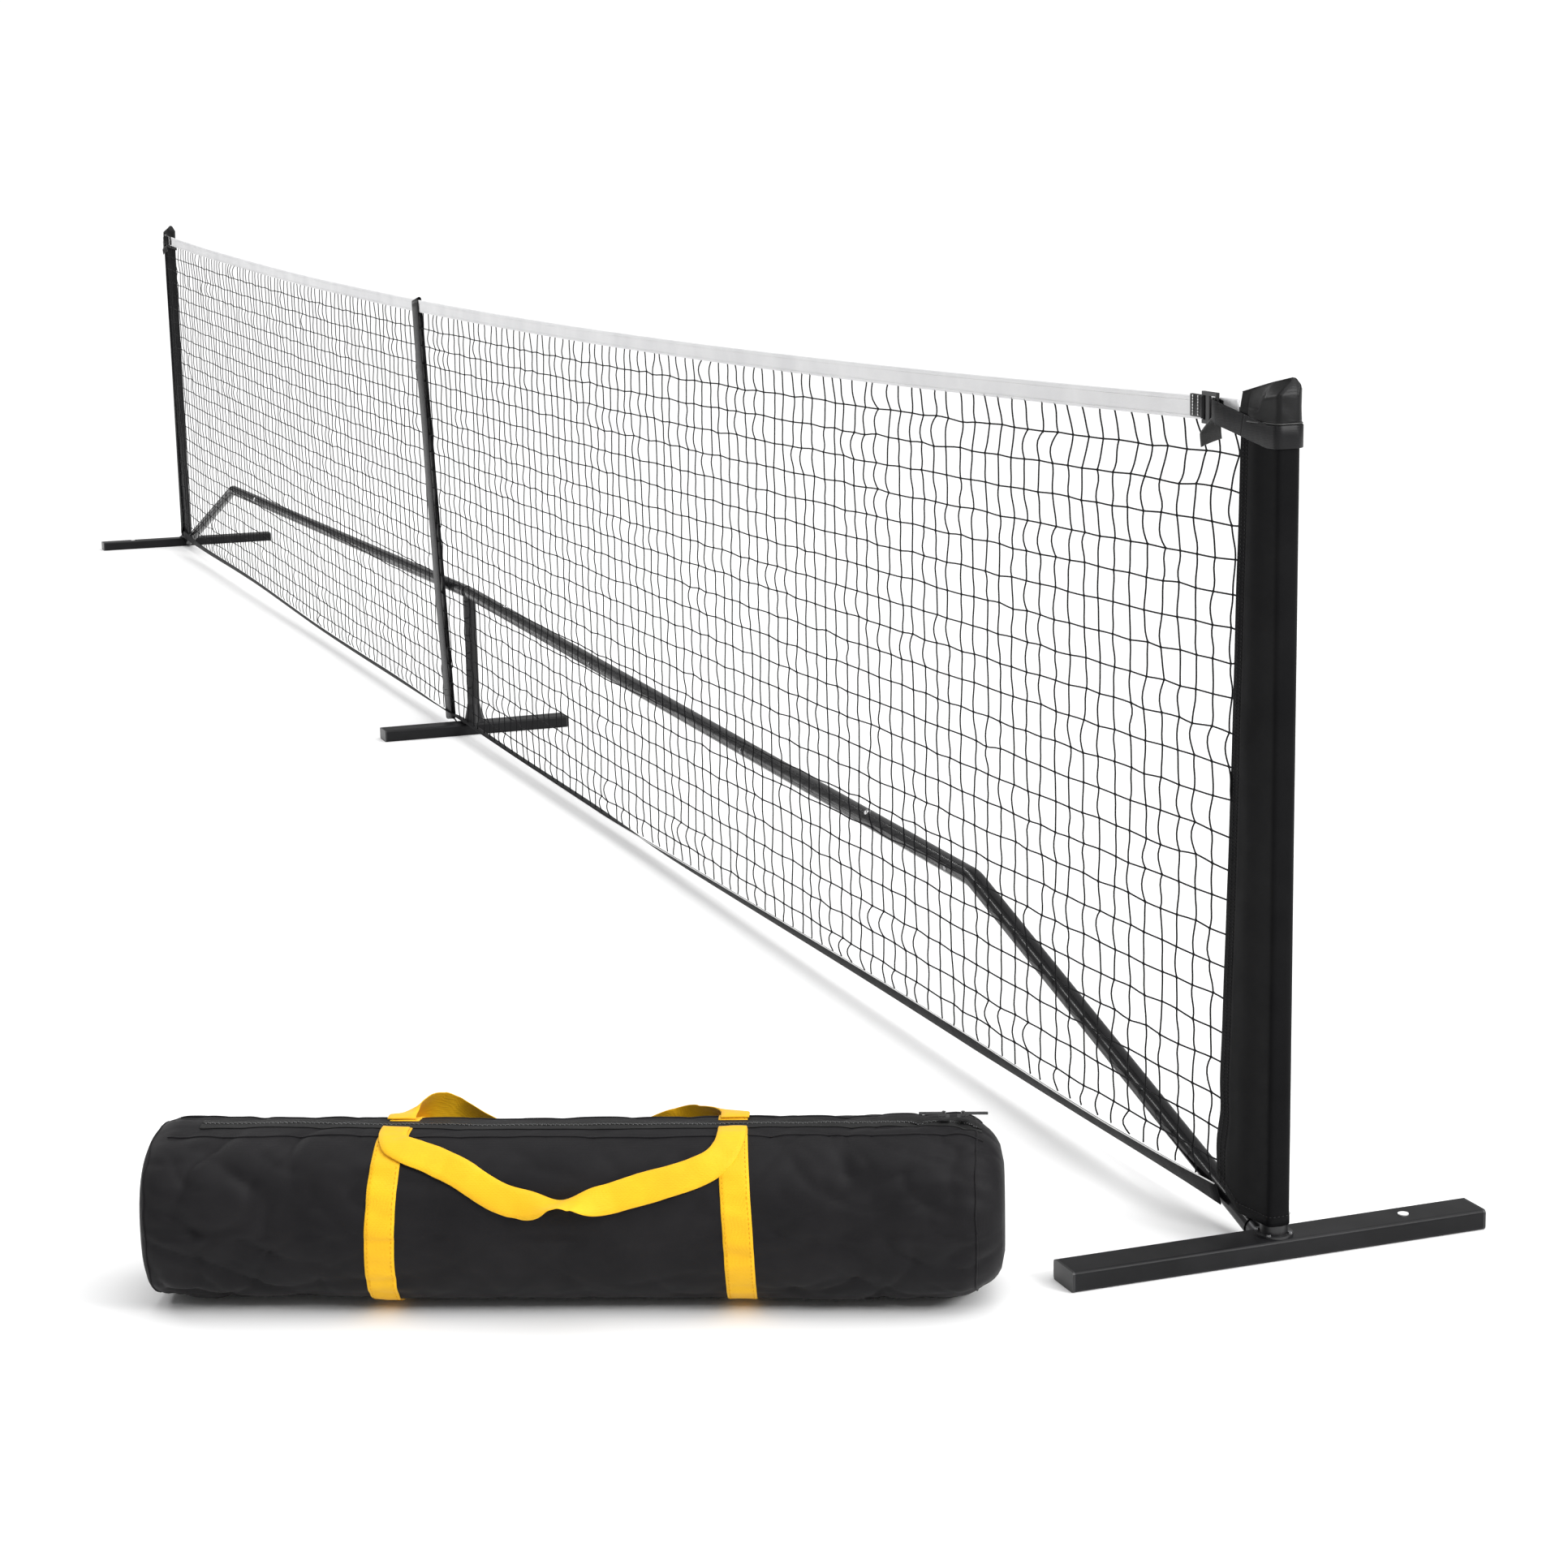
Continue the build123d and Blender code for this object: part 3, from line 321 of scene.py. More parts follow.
def woven(name, dark, light, thread, depth, rough, sheen=0.0, turn=0.0, specular=0.3, crumple=0.0):
    """Woven cloth or webbing: crossed threads of the given pitch, tone that wanders, a little sheen."""
    look = Look(name)
    turned = look.add("Mapping", Rotation=(0, 0, turn), Vector=look.where).outputs["Vector"]
    look.tones(dark, light, 14.0, 6.0)
    look.roughness(*rough, 45.0)
    waves = [
        look.add("TexWave", Scale=pi / thread / 10, Distortion=0.6, bands_direction=way, Vector=turned)
        for way in "ZX"
    ]
    weave = look.add("Math", operation="MULTIPLY")
    for wave, socket in zip(waves, weave.inputs):
        look.tree.links.new(wave.outputs["Fac"], socket)
    last = look.add("Bump", Strength=0.6, Distance=depth, Height=weave.outputs["Value"])
    if crumple:
        creases = look.noise(26.0, 8.0, Roughness=0.62, noise_type="RIDGED_MULTIFRACTAL")
        under = last.outputs["Normal"]
        last = look.add("Bump", Strength=0.5, Distance=crumple, Height=creases, Normal=under)
    look.fill(look.shader, Normal=last.outputs["Normal"])
    extra = {"Sheen Weight": sheen, "Sheen Roughness": 0.45, "Specular IOR Level": specular}
    look.fill(look.shader, **extra)
    return look.material


BLACK = (0.004, 0.004, 0.0045)
# Two tones and the roughness from low to high, then what else a coat needs.
COATED = {
    "foot_satin": ((0.007, 0.007, 0.0075), (0.012, 0.012, 0.013), (0.30, 0.42), dict(specular=0.16)),
    "tube_gloss": (BLACK, (0.008, 0.008, 0.009), (0.16, 0.26), dict(specular=0.35)),
    "tube_steel": ((0.05, 0.05, 0.052), (0.09, 0.09, 0.092), (0.3, 0.45), dict(metallic=1.0)),
    "spring_steel": ((0.68, 0.68, 0.69), (0.8, 0.8, 0.81), (0.12, 0.25), dict(metallic=1.0)),
    "black_plastic": ((0.008, 0.008, 0.009), (0.014, 0.014, 0.015), (0.3, 0.45), dict(grain=1500.0)),
    "white_plastic": (0.82, 0.9, (0.35, 0.5), {}),
    "screw_metal": ((0.16, 0.16, 0.165), (0.3, 0.3, 0.31), (0.18, 0.3), dict(metallic=1.0)),
    "zip_black": ((0.010, 0.010, 0.011), (0.02, 0.02, 0.021), (0.22, 0.35), dict(coat=0.2)),
}
# Two tones, thread pitch, weave depth and roughness, then what else a cloth needs.
SLEEVE_TONES = (0.0035, 0.0035, 0.004), (0.0065, 0.0065, 0.007)
# The cap is the sleeve's own fabric in lighter tones: painted light for the light its panels catch.
CAP_PAINTED_LIGHT_TONES = (0.006, 0.006, 0.0065), 0.011
BAG_TONES = (0.0050, 0.0046, 0.0056), (0.0100, 0.0092, 0.0104)
BAG_EXTRA = dict(sheen=0.03, specular=0.16, turn=radians(-23), crumple=0.0012)
YELLOW = (0.80, 0.42, 0.004), (0.93, 0.53, 0.008)
TWINE_TONES = (0.006, 0.006, 0.007), (0.014, 0.014, 0.015)
WHITE_TONES = (0.66, 0.66, 0.67), (0.75, 0.75, 0.755)
WOVEN = {
    "twine": (*TWINE_TONES, 0.0008, 0.0002, (0.6, 0.8), dict(specular=0.1)),
    "tape_white": (*WHITE_TONES, 0.0012, 0.00015, (0.6, 0.75), dict(specular=0.35)),
    "hem_black": (BLACK, (0.009, 0.009, 0.010), 0.0012, 0.0002, (0.5, 0.7), dict(specular=0.12)),
    "sleeve_black": (*SLEEVE_TONES, 0.0010, 0.0001, (0.45, 0.6), dict(specular=0.05)),
    "webbing_black": (BLACK, (0.008, 0.008, 0.009), 0.0016, 0.0003, (0.30, 0.45), dict(specular=0.18)),
    "bag_polyester": (*BAG_TONES, 0.0009, 0.0001, (0.5, 0.68), BAG_EXTRA),
    "webbing_yellow": (*YELLOW, 0.0016, 0.0003, (0.55, 0.72), dict(sheen=0.1)),
    "thread_white": (0.7, 0.85, 0.0006, 0.0001, (0.6, 0.8), {}),
    "thread_black": ((0.010, 0.010, 0.011), 0.03, 0.0006, 0.0001, (0.4, 0.6), {}),
    "thread_yellow": ((0.70, 0.34, 0.003), (0.85, 0.46, 0.006), 0.0006, 0.0001, (0.5, 0.7), {}),
    # Lighter copy of the sleeve fabric for the cap: painted light on its lit panels.
    "cap_cloth_painted_light": (*CAP_PAINTED_LIGHT_TONES, 0.0010, 0.0001, (0.30, 0.42), dict(specular=0.16)),
    "zip_tape": (0.006, 0.014, 0.0007, 0.0001, (0.5, 0.7), {}),
    # Light tone for the thin rod round the cap's lower edge: a painted highlight for the rim's light line.
    "painted_highlight_binding": (0.02, 0.06, 0.0008, 0.0001, (0.3, 0.45), {}),
    # A lighter copy of the strap webbing for the hanging tail: painted light where the tail catches the
    # light.
    "webbing_tail_painted_light": (0.008, 0.03, 0.0016, 0.0003, (0.25, 0.45), dict(sheen=0.1)),
}
MATERIALS = {}
for make, table in ((coated, COATED), (woven, WOVEN)):
    for name, (*values, extra) in table.items():
        MATERIALS[name] = make(name, *values, **extra)


def finish_cad_nodes():
    """Give every carried-over CAD node the material of its own slot."""
    for subpart in frame["record"]["subparts"]:
        node = nodes[subpart["node"]]
        node.data.materials.clear()
        node.data.materials.append(MATERIALS[subpart["material_slot"]])


finish_cad_nodes()

# --- Places taken from the frame ---
CAP_GROWTH = 0.0017  # how far the cap stands off the sleeve
post_low, post_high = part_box("near_post")
POST_X = (post_low.x + post_high.x) / 2
tape_low, tape_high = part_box("top_tape")
NET_Y = (tape_low.y + tape_high.y) / 2
TAPE_END_X = tape_high.x
TAPE_END_TOP = tape_high.z
TAPE_HEIGHT = 0.025
TAPE_SAG = tape_high.z - tape_low.z - TAPE_HEIGHT
sleeve_low, sleeve_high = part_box("near_sleeve")
FLAP_BOTTOM = POST_X - sleeve_low.x
FLAP_TOP = POST_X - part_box("near_cap")[0].x - CAP_GROWTH
hem_low, hem_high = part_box("bottom_hem")
HEM_END_X = hem_high.x


def tape_top(x):
    """The height of the tape's top edge, lowest in the middle."""
    return TAPE_END_TOP - TAPE_SAG * (1 - (x / TAPE_END_X) ** 2)


# The hem's lower edge and its upper edge along the net, as (x, bottom, top).
HEM_RUN = np.array(
    [
        (-3.260, 0.031, 0.053), (-2.900, 0.027, 0.0455), (-2.200, 0.0285, 0.0455),
        (-1.350, 0.0170, 0.0330), (-0.560, 0.0172, 0.0331), (-0.190, 0.0180, 0.0300),
        (0.000, 0.0250, 0.0300), (0.370, 0.0215, 0.0276), (0.860, 0.0205, 0.0262),
        (1.060, 0.0178, 0.0262), (1.360, 0.0150, 0.0305), (2.230, 0.0246, 0.0434),
        (2.870, 0.0268, 0.0465), (3.085, 0.0288, 0.0505), (3.260, 0.0305, 0.0560),
    ]
)


def hem_top(x):
    """The height of the hem's upper edge."""
    return np.interp(x, HEM_RUN[:, 0], HEM_RUN[:, 2])


def flap_x(z):
    """The x of the near sleeve's net-side edge at the height z."""
    share = (z - sleeve_low.z) / (sleeve_high.z - sleeve_low.z)
    return POST_X - FLAP_BOTTOM + (FLAP_BOTTOM - FLAP_TOP) * share


# --- Netting ---
TWINE_RADIUS = 0.00105
MESH_PITCH = 0.040
ROW_COUNT = 22
TOP_SLACK = 0.033
BOTTOM_SLACK = 0.026
SPAN_STEPS = 6
THREAD_PIECES = 3


def row_height(row, x):
    """The height of a level strand: the top one follows the tape and the lowest one the hem."""
    share = row / (ROW_COUNT - 1)
    high = tape_top(x) - TAPE_HEIGHT - TOP_SLACK
    low = hem_top(x) + BOTTOM_SLACK
    return high + (low - high) * share


def make_netting():
    """Level strands, slack upright threads between them, and a knot where they cross."""
    rng = np.random.default_rng(7)
    reach = TAPE_END_X - 0.012
    columns = np.arange(-reach, reach + 1e-6, 2 * reach / round(2 * reach / MESH_PITCH))
    count = len(columns)
    lean = rng.normal(0, 0.0030, (ROW_COUNT, count))
    for _ in range(2):
        lean[1:] = 0.5 * (lean[1:] + lean[:-1])
    rows = np.arange(ROW_COUNT)[:, None]
    pull = np.sign(columns) * np.exp((np.abs(columns) - reach) / 1.1)
    drift = 0.42 * MESH_PITCH * np.cos(1.9 * rows) * np.exp(-rows / 2.5)
    crossing_x = columns[None, :] + lean + drift * pull[None, :]
    crossing_z = row_height(rows, crossing_x) + rng.normal(0, 0.0009, (ROW_COUNT, count))
    crossing_y = NET_Y + rng.normal(0, 0.0008, (ROW_COUNT, count))
    edge = flap_x(crossing_z) - 0.004
    inside = np.abs(crossing_x) < edge

    lines = []
    for r in range(ROW_COUNT):
        keep = inside[r]
        x, y, z = crossing_x[r][keep], crossing_y[r][keep], crossing_z[r][keep]
        near_end = flap_x(z[-1]) + 0.003
        far_end = -(flap_x(z[0]) + 0.003)
        x, y = np.r_[far_end, x, near_end], np.r_[NET_Y, y, NET_Y]
        z = np.r_[z[0] + rng.normal(0, 0.0012), z, z[-1] + rng.normal(0, 0.0015)]
        span = np.linspace(0, len(x) - 1, 2 * count + 5)
        line = smooth_path(np.column_stack([x, y, z]), 4)
        lines.append(sampled(line, span, np.linspace(0, len(x) - 1, len(line))))
    level = strands(lines, TWINE_RADIUS, 5, (0, 0, 1))
    piece("netting_level_strands", level, ROOT, "twine", "net_mesh")

    threads = []
    step = np.arange(SPAN_STEPS) / SPAN_STEPS
    arch = np.sin(pi * step)
    for c in range(count):
        shown = np.where(inside[:, c])[0]
        if len(shown) == 0:
            continue
        last = shown[-1]
        at = columns[c]
        x = np.r_[at + rng.normal(0, 0.005), crossing_x[:, c], at + rng.normal(0, 0.005)]
        y = np.r_[NET_Y, crossing_y[:, c], NET_Y]
        z = np.r_[tape_top(at) - TAPE_HEIGHT + 0.002, crossing_z[:, c], hem_top(at) - 0.002]
        if last < ROW_COUNT - 1:
            x[last + 2] = np.sign(x[last + 1]) * (flap_x(z[last + 2]) + 0.002)
        bow = rng.normal(0, 0.0014, len(x) - 1)
        bow += 0.0085 * wander(c * 0.22, np.arange(len(bow)) * 0.83, 5.0)
        bow[:3] *= 1.6
        bow[-3:] *= 1.6
        wave = rng.normal(0, 0.0012, len(x) - 1)
        points = []
        for k in range(len(x) - 1):
            lateral = bow[k] * arch + wave[k] * np.sin(2 * pi * step)
            span = np.column_stack([v[k] + (v[k + 1] - v[k]) * step for v in (x, y, z)])
            span[:, 0] += lateral
            span[:, 1] -= np.abs(0.35 * bow[k] * arch)
            points.append(span)
        points.append([[x[-1], y[-1], z[-1]]])
        line = np.vstack(points)
        if last < ROW_COUNT - 1:
            spots = np.linspace(0, (last + 2) * SPAN_STEPS, len(line))
            line = sampled(line, spots, np.arange(len(line)))
        threads.append(line)
    groups = np.array_split(np.arange(len(threads)), THREAD_PIECES)
    for k, group in enumerate(groups):
        upright = strands([threads[i] for i in group], TWINE_RADIUS, 5, (0, 1, 0))
        piece(f"netting_threads_{k}", upright, ROOT, "twine")

    size = TWINE_RADIUS * 2.0
    bead = np.array([(1, 0, 0), (0, 1, 0), (-1, 0, 0), (0, -1, 0), (0, 0, 1.2), (0, 0, -1.2)]) * size
    sides = [(0, 1, 4), (1, 2, 4), (2, 3, 4), (3, 0, 4), (1, 0, 5), (2, 1, 5), (3, 2, 5), (0, 3, 5)]
    centres = np.stack([crossing_x, crossing_y, crossing_z], -1)[inside]
    verts = (centres[:, None] + bead[None]).reshape(-1, 3)
    faces = [tuple(6 * i + k for k in f) for i in range(len(centres)) for f in sides]
    piece("netting_knots", (verts, faces), ROOT, "twine")


make_netting()


# --- Tape and hem ---
CORD_RADIUS = 0.0022
HEM_THICK = 0.0022


def make_tape():
    """White tape folded over a cord along the top, with two rows of stitches along it."""
    count = 420
    x = np.linspace(-TAPE_END_X, TAPE_END_X, count)
    sway = wander(x * 1.7, 3.1, 0.0) * 0.0016
    top = tape_top(x) - CORD_RADIUS
    path = np.column_stack([x, NET_Y + sway, top])
    height = TAPE_HEIGHT - CORD_RADIUS
    section = [(CORD_RADIUS * cos(a), CORD_RADIUS * sin(a)) for a in np.linspace(-0.6, pi + 0.6, 9)]
    section += [(-0.0010, -0.006), (-0.0011, -0.014), (-0.0013, -height + 0.001), (-0.0007, -height)]
    section += [(0.0007, -height), (0.0013, -height + 0.001), (0.0011, -0.014), (0.0010, -0.006)]
    shape = sweep_section(path, (0, 1, 0), (0, 0, 1), section)
    tape = piece("tape_folded", shape, ROOT, "tape_white", "top_tape")

    stitches = []
    pitch = 0.006
    for k in range(int(2 * TAPE_END_X / pitch) - 2):
        start = -TAPE_END_X + (k + 1) * pitch
        for drop in (0.0055, TAPE_HEIGHT - 0.0035):
            z = tape_top(start) - drop
            y = NET_Y - 0.0017 + np.interp(start, x, sway)
            stitches.append(((start, y, z), (start + 0.6 * pitch, y, z)))
    stitches = strands(stitches, 0.0003, 4, (0, 0, 1))
    piece("tape_stitches", stitches, ROOT, "tape_white", look="thread_white")


def make_hem():
    """The black hem, folded flat, which turns on edge for a stretch beyond the middle foot."""
    run = smooth_path(HEM_RUN, 12)
    x = np.linspace(-HEM_END_X, HEM_END_X, 360)
    low = np.interp(x, run[:, 0], run[:, 1])
    high = np.interp(x, run[:, 0], run[:, 2])
    full = 0.0205 + 0.006 * np.clip((x - 2.6) / 0.6, 0, 1)
    twist = np.arccos(np.clip((high - low) / full, 0.16, 1.0))
    path = np.column_stack([x, np.full_like(x, NET_Y), (low + high) / 2])
    out = np.tile([0.0, -1.0, 0.0], (len(x), 1))
    across = np.cross(out, tangents(path))
    c, s = np.cos(twist)[:, None], np.sin(twist)[:, None]
    across, out = across * c + out * s, out * c - across * s
    scale = (full / full[0])[:, None]
    section = band_section(full[0], HEM_THICK)
    shape = sweep_section(path, across * scale, out, section)
    hem = piece("hem_band", shape, ROOT, "hem_black", "bottom_hem")
    # area is about half of the cut's, as for the tape.
    edge = path[-150:] + across[-150:] * (full[-150:, None] / 2) + out[-150:] * 0.0009
    piece("hem_edge_piping", rod(edge, 0.0007, 6), ROOT, "tape_white", look="thread_white")


make_tape()
make_hem()


# --- Sleeves and caps ---
SLEEVE_ROUND = ((0.0150, -0.0135), (0.0145, 0.0090), (0.0090, 0.0150), (-0.0040, 0.0150))
SEAM_HALF = 0.0020
FLAP_CUT_WIDTH = 0.045
FLAP_CUT_HEIGHT = 0.027
SLEEVE_COLUMNS = 92
CORNER_STEPS = 7


def divided(points, step=None, count=None):
    """A polyline divided into equal steps of the length given, or into count points."""
    points = np.asarray(points, float)
    run = np.concatenate([[0], np.cumsum(np.linalg.norm(np.diff(points, axis=0), axis=1))])
    count = count or max(2, int(round(run[-1] / step)) + 1)
    at = np.linspace(0, run[-1], count)
    return sampled(points, at, run)


def softened(points, times):
    """A path with its corners worn down by averaging neighbours; the two ends stay."""
    points = np.array(points, float)
    for _ in range(times):
        points[1:-1] = 0.25 * points[:-2] + 0.5 * points[1:-1] + 0.25 * points[2:]
    return points


def rounded(points, radius):
    """A polyline whose corners are curves that begin the distance radius from each corner."""
    points = np.asarray(points, float)
    out = [points[0]]
    for a, b, c in zip(points[:-2], points[1:-1], points[2:]):
        before, after = np.linalg.norm(b - a), np.linalg.norm(c - b)
        reach = min(radius, 0.48 * before, 0.48 * after)
        start, end = b + (a - b) / before * reach, b + (c - b) / after * reach
        for s in np.linspace(0, 1, CORNER_STEPS):
            out.append((1 - s) ** 2 * start + 2 * s * (1 - s) * b + s**2 * end)
    out.append(points[-1])
    return np.array(out)


def sleeve_plan(flap, growth=0.0, soft=5):
    """The sleeve's outline in plan, (outboard, y), from the flap edge round the post and back."""
    corners = [(-flap, NET_Y - SEAM_HALF), *SLEEVE_ROUND, (-flap, NET_Y + SEAM_HALF)]
    loop = softened(divided(corners, count=SLEEVE_COLUMNS), soft)
    hollow = 0.0016 * np.exp(-(((loop[:, 0] + 0.5 * flap) / (0.25 * flap)) ** 2))
    loop[:, 1] += np.where(loop[:, 1] < NET_Y, hollow, -hollow)
    edge = np.gradient(loop, axis=0)
    outward = unit(np.column_stack([edge[:, 1], -edge[:, 0]]))
    return loop + outward * growth, outward


def make_sleeve(name, side):
    """A fabric sleeve round the post, with a hemmed foot, a sewn flap and slight creases."""
    top, bottom = sleeve_high.z, sleeve_low.z
    rows = 120
    inner_rows = 30
    count = len(sleeve_plan(FLAP_BOTTOM)[0])
    verts, seams = [], []
    for k in range(rows + inner_rows):
        inside = k >= rows
        share = (rows + inner_rows - 1 - k) / (inner_rows - 1) if inside else k / (rows - 1)
        z = top + (bottom - top) * share
        flap = FLAP_TOP + (FLAP_BOTTOM - FLAP_TOP) * share
        flap += 0.0035 * exp(-(((z - 0.075) / 0.022) ** 2)) - 0.0035 * exp(-(((z - 0.125) / 0.020) ** 2))
        loop, outward = sleeve_plan(flap)
        cut = np.clip((-FLAP_BOTTOM + FLAP_CUT_WIDTH - loop[:, 0]) / FLAP_CUT_WIDTH, 0, 1)
        floor = bottom + FLAP_CUT_HEIGHT * cut
        height = top + (floor - top) * share
        away = np.clip((np.hypot(loop[:, 0], loop[:, 1]) - 0.016) / 0.05, 0.12, 1)
        u, y = loop.T
        crease = 0.0016 * wander(u * 14, y * 14 + side, height * 3.1)
        crease += 0.0009 * wander(u * 40, y * 40, height * 11 + side)
        hem = 0.0005 * (height < floor + 0.013)
        shift = crease * away + hem - 0.0012 * inside
        loop = loop + outward * shift[:, None]
        x = side * (POST_X + loop[:, 0])
        verts.append(np.column_stack([x, loop[:, 1], height]))
        if not inside:
            seams.append(verts[-1])
    verts.append(verts[0])
    faces = grid_faces(rows + inner_rows + 1, count, True)
    total = (rows + inner_rows) * count
    faces = [tuple(i % total for i in face) for face in faces]
    shape = np.vstack(verts[:-1]), faces
    shell = piece(f"{name}_sleeve_cloth", shape, ROOT, "sleeve_black", f"{name}_sleeve")

    dashes = []
    seams = np.array(seams)
    fine = np.linspace(0, rows - 1, 420)
    for column in (3, 6):
        line = sampled(seams[:, column], fine, np.arange(rows))
        line[:, 1] -= 0.0004
        dashes += dashed(line)
    around = seams[-1]
    lift = np.array([0, 0, 0.011])
    out = unit(around - around.mean(axis=0)) * 0.0007
    dashes += [(around[k] + lift + out[k], around[k + 1] + lift + out[k + 1]) for k in range(1, count - 2, 2)]
    stitches = strands(dashes, 0.00035, 4, (0.3, 1, 0.2))
    piece(f"{name}_sleeve_stitches", stitches, ROOT, "sleeve_black", look="thread_black")


def make_cap(name, side):
    """The fabric cap over the post: upright walls folded in to a ridge that peaks at the post."""
    low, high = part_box(f"{name}_cap")
    flap = FLAP_TOP
    loop, outward = sleeve_plan(flap, CAP_GROWTH, 2)
    ridge_start = np.array([-flap - CAP_GROWTH, NET_Y, low.z + 0.030])
    peak = np.array([0.0085, 0.0030, high.z])
    share = np.clip((loop[:, 0] + flap) / (flap + 0.013), 0, 1)
    spine = ridge_start + (peak - ridge_start) * share[:, None]
    spine[:, 2] -= 0.0010 * share**6
    ridge = spine.copy()
    behind = loop[:, 1] > 0.010
    beside = (share > 0.97) * np.clip((loop[:, 1] + 0.0135) / 0.0285, 0, 1)
    width = np.where(behind, share**3, beside)
    ridge[:, 1] += 0.0095 * width
    ridge[:, 2] -= 0.0035 * (2 * width - 0.9) ** 2 * share**6
    over_post = np.clip((share - 0.48) / 0.2, 0, 1)
    over_post = over_post**2 * (3 - 2 * over_post)
    in_front = low.z + 0.003 + 0.013 * share + 0.0138 * over_post
    knee = np.where(behind, low.z + 0.020 + 0.016 * share, in_front)
    rows = []
    for z in (low.z + 0.015, low.z + 0.009, low.z):
        rows.append(np.column_stack([loop - outward * 0.0012, np.full(len(loop), z)]))
    for s in np.linspace(0, 1, 9):
        lip = 0.0005 * exp(-((s * 9) ** 2))
        rows.append(np.column_stack([loop + outward * lip, low.z + (knee - low.z) * s]))
    start = rows[-1]
    for s in np.linspace(0, 1, 14)[1:]:
        bulge = 0.0011 * sin(pi * s)
        leaned = start + (ridge - start) * s
        leaned[:, :2] += outward * bulge
        leaned[:, 2] -= 0.0011 * sin(pi * s) * (1 - share) * 0.3
        rows.append(leaned)
    rows.append(0.5 * (ridge + spine) + np.array([0, 0, 0.0004]))
    rows.append(spine)
    grid = np.array(rows)
    u, y, z = np.moveaxis(grid, 2, 0) * 60
    grid[:, :, 0] += 0.0005 * wander(u, y, z)
    grid[:, :, 1] += 0.0005 * wander(u + 9, y, z)
    grid[:, :, 0] = side * (POST_X + grid[:, :, 0])
    cap = grid.reshape(-1, 3), grid_faces(len(rows), len(loop), True)
    # The cap wears the lighter copy of the sleeve fabric, painted light on its lit panels.
    piece(f"{name}_cap_cloth_painted_light", cap, ROOT, "sleeve_black", f"{name}_cap", look="cap_cloth_painted_light")
    # A thin rod round the cap's foot in that light tone, a painted highlight along the rim.
    painted_highlight_binding = grid[3].copy()
    painted_highlight_binding[:, 2] += 0.0008
    piece(f"{name}_cap_binding", rod(painted_highlight_binding, 0.0009, 8), ROOT, "sleeve_black", look="painted_highlight_binding")


for end, way in SIDES.items():
    make_sleeve(end, way)
    make_cap(end, way)


# --- Tension straps ---
STRAP_WIDTH = 0.024
STRAP_THICK = 0.0014
WRAP_Z = 0.8835
BUCKLE_Z = 0.905
HINGE_U = -0.121
BUCKLE_Y = -0.028
SPLIT_U = -0.040


def strap_height(outboard):
    """The strap's middle height: level round the post, rising to the buckle."""
    return WRAP_Z + (BUCKLE_Z - WRAP_Z) * np.clip(-outboard / 0.1, 0, 1)


def plan_band(side, route, radius, wave=0.0):
    """Webbing on edge along a route in plan, (outboard, y), at the strap's height."""
    flat = divided(rounded(route, radius), 0.0022)
    z = strap_height(flat[:, 0])
    sewn = (flat[:, 1] > NET_Y) & (flat[:, 0] < -0.06)
    z = np.where(sewn, np.minimum(z, tape_top(POST_X + flat[:, 0]) - 0.0126), z)
    ripple = wave * wander(flat[:, 0] * 30, 4.0, side)
    path = np.column_stack([side * (POST_X + flat[:, 0]), flat[:, 1] + ripple, z])
    level = tangents(path) * (1, 1, 0)
    out = side * np.cross(level, (0, 0, 1))
    return band(path, out, STRAP_WIDTH, STRAP_THICK)


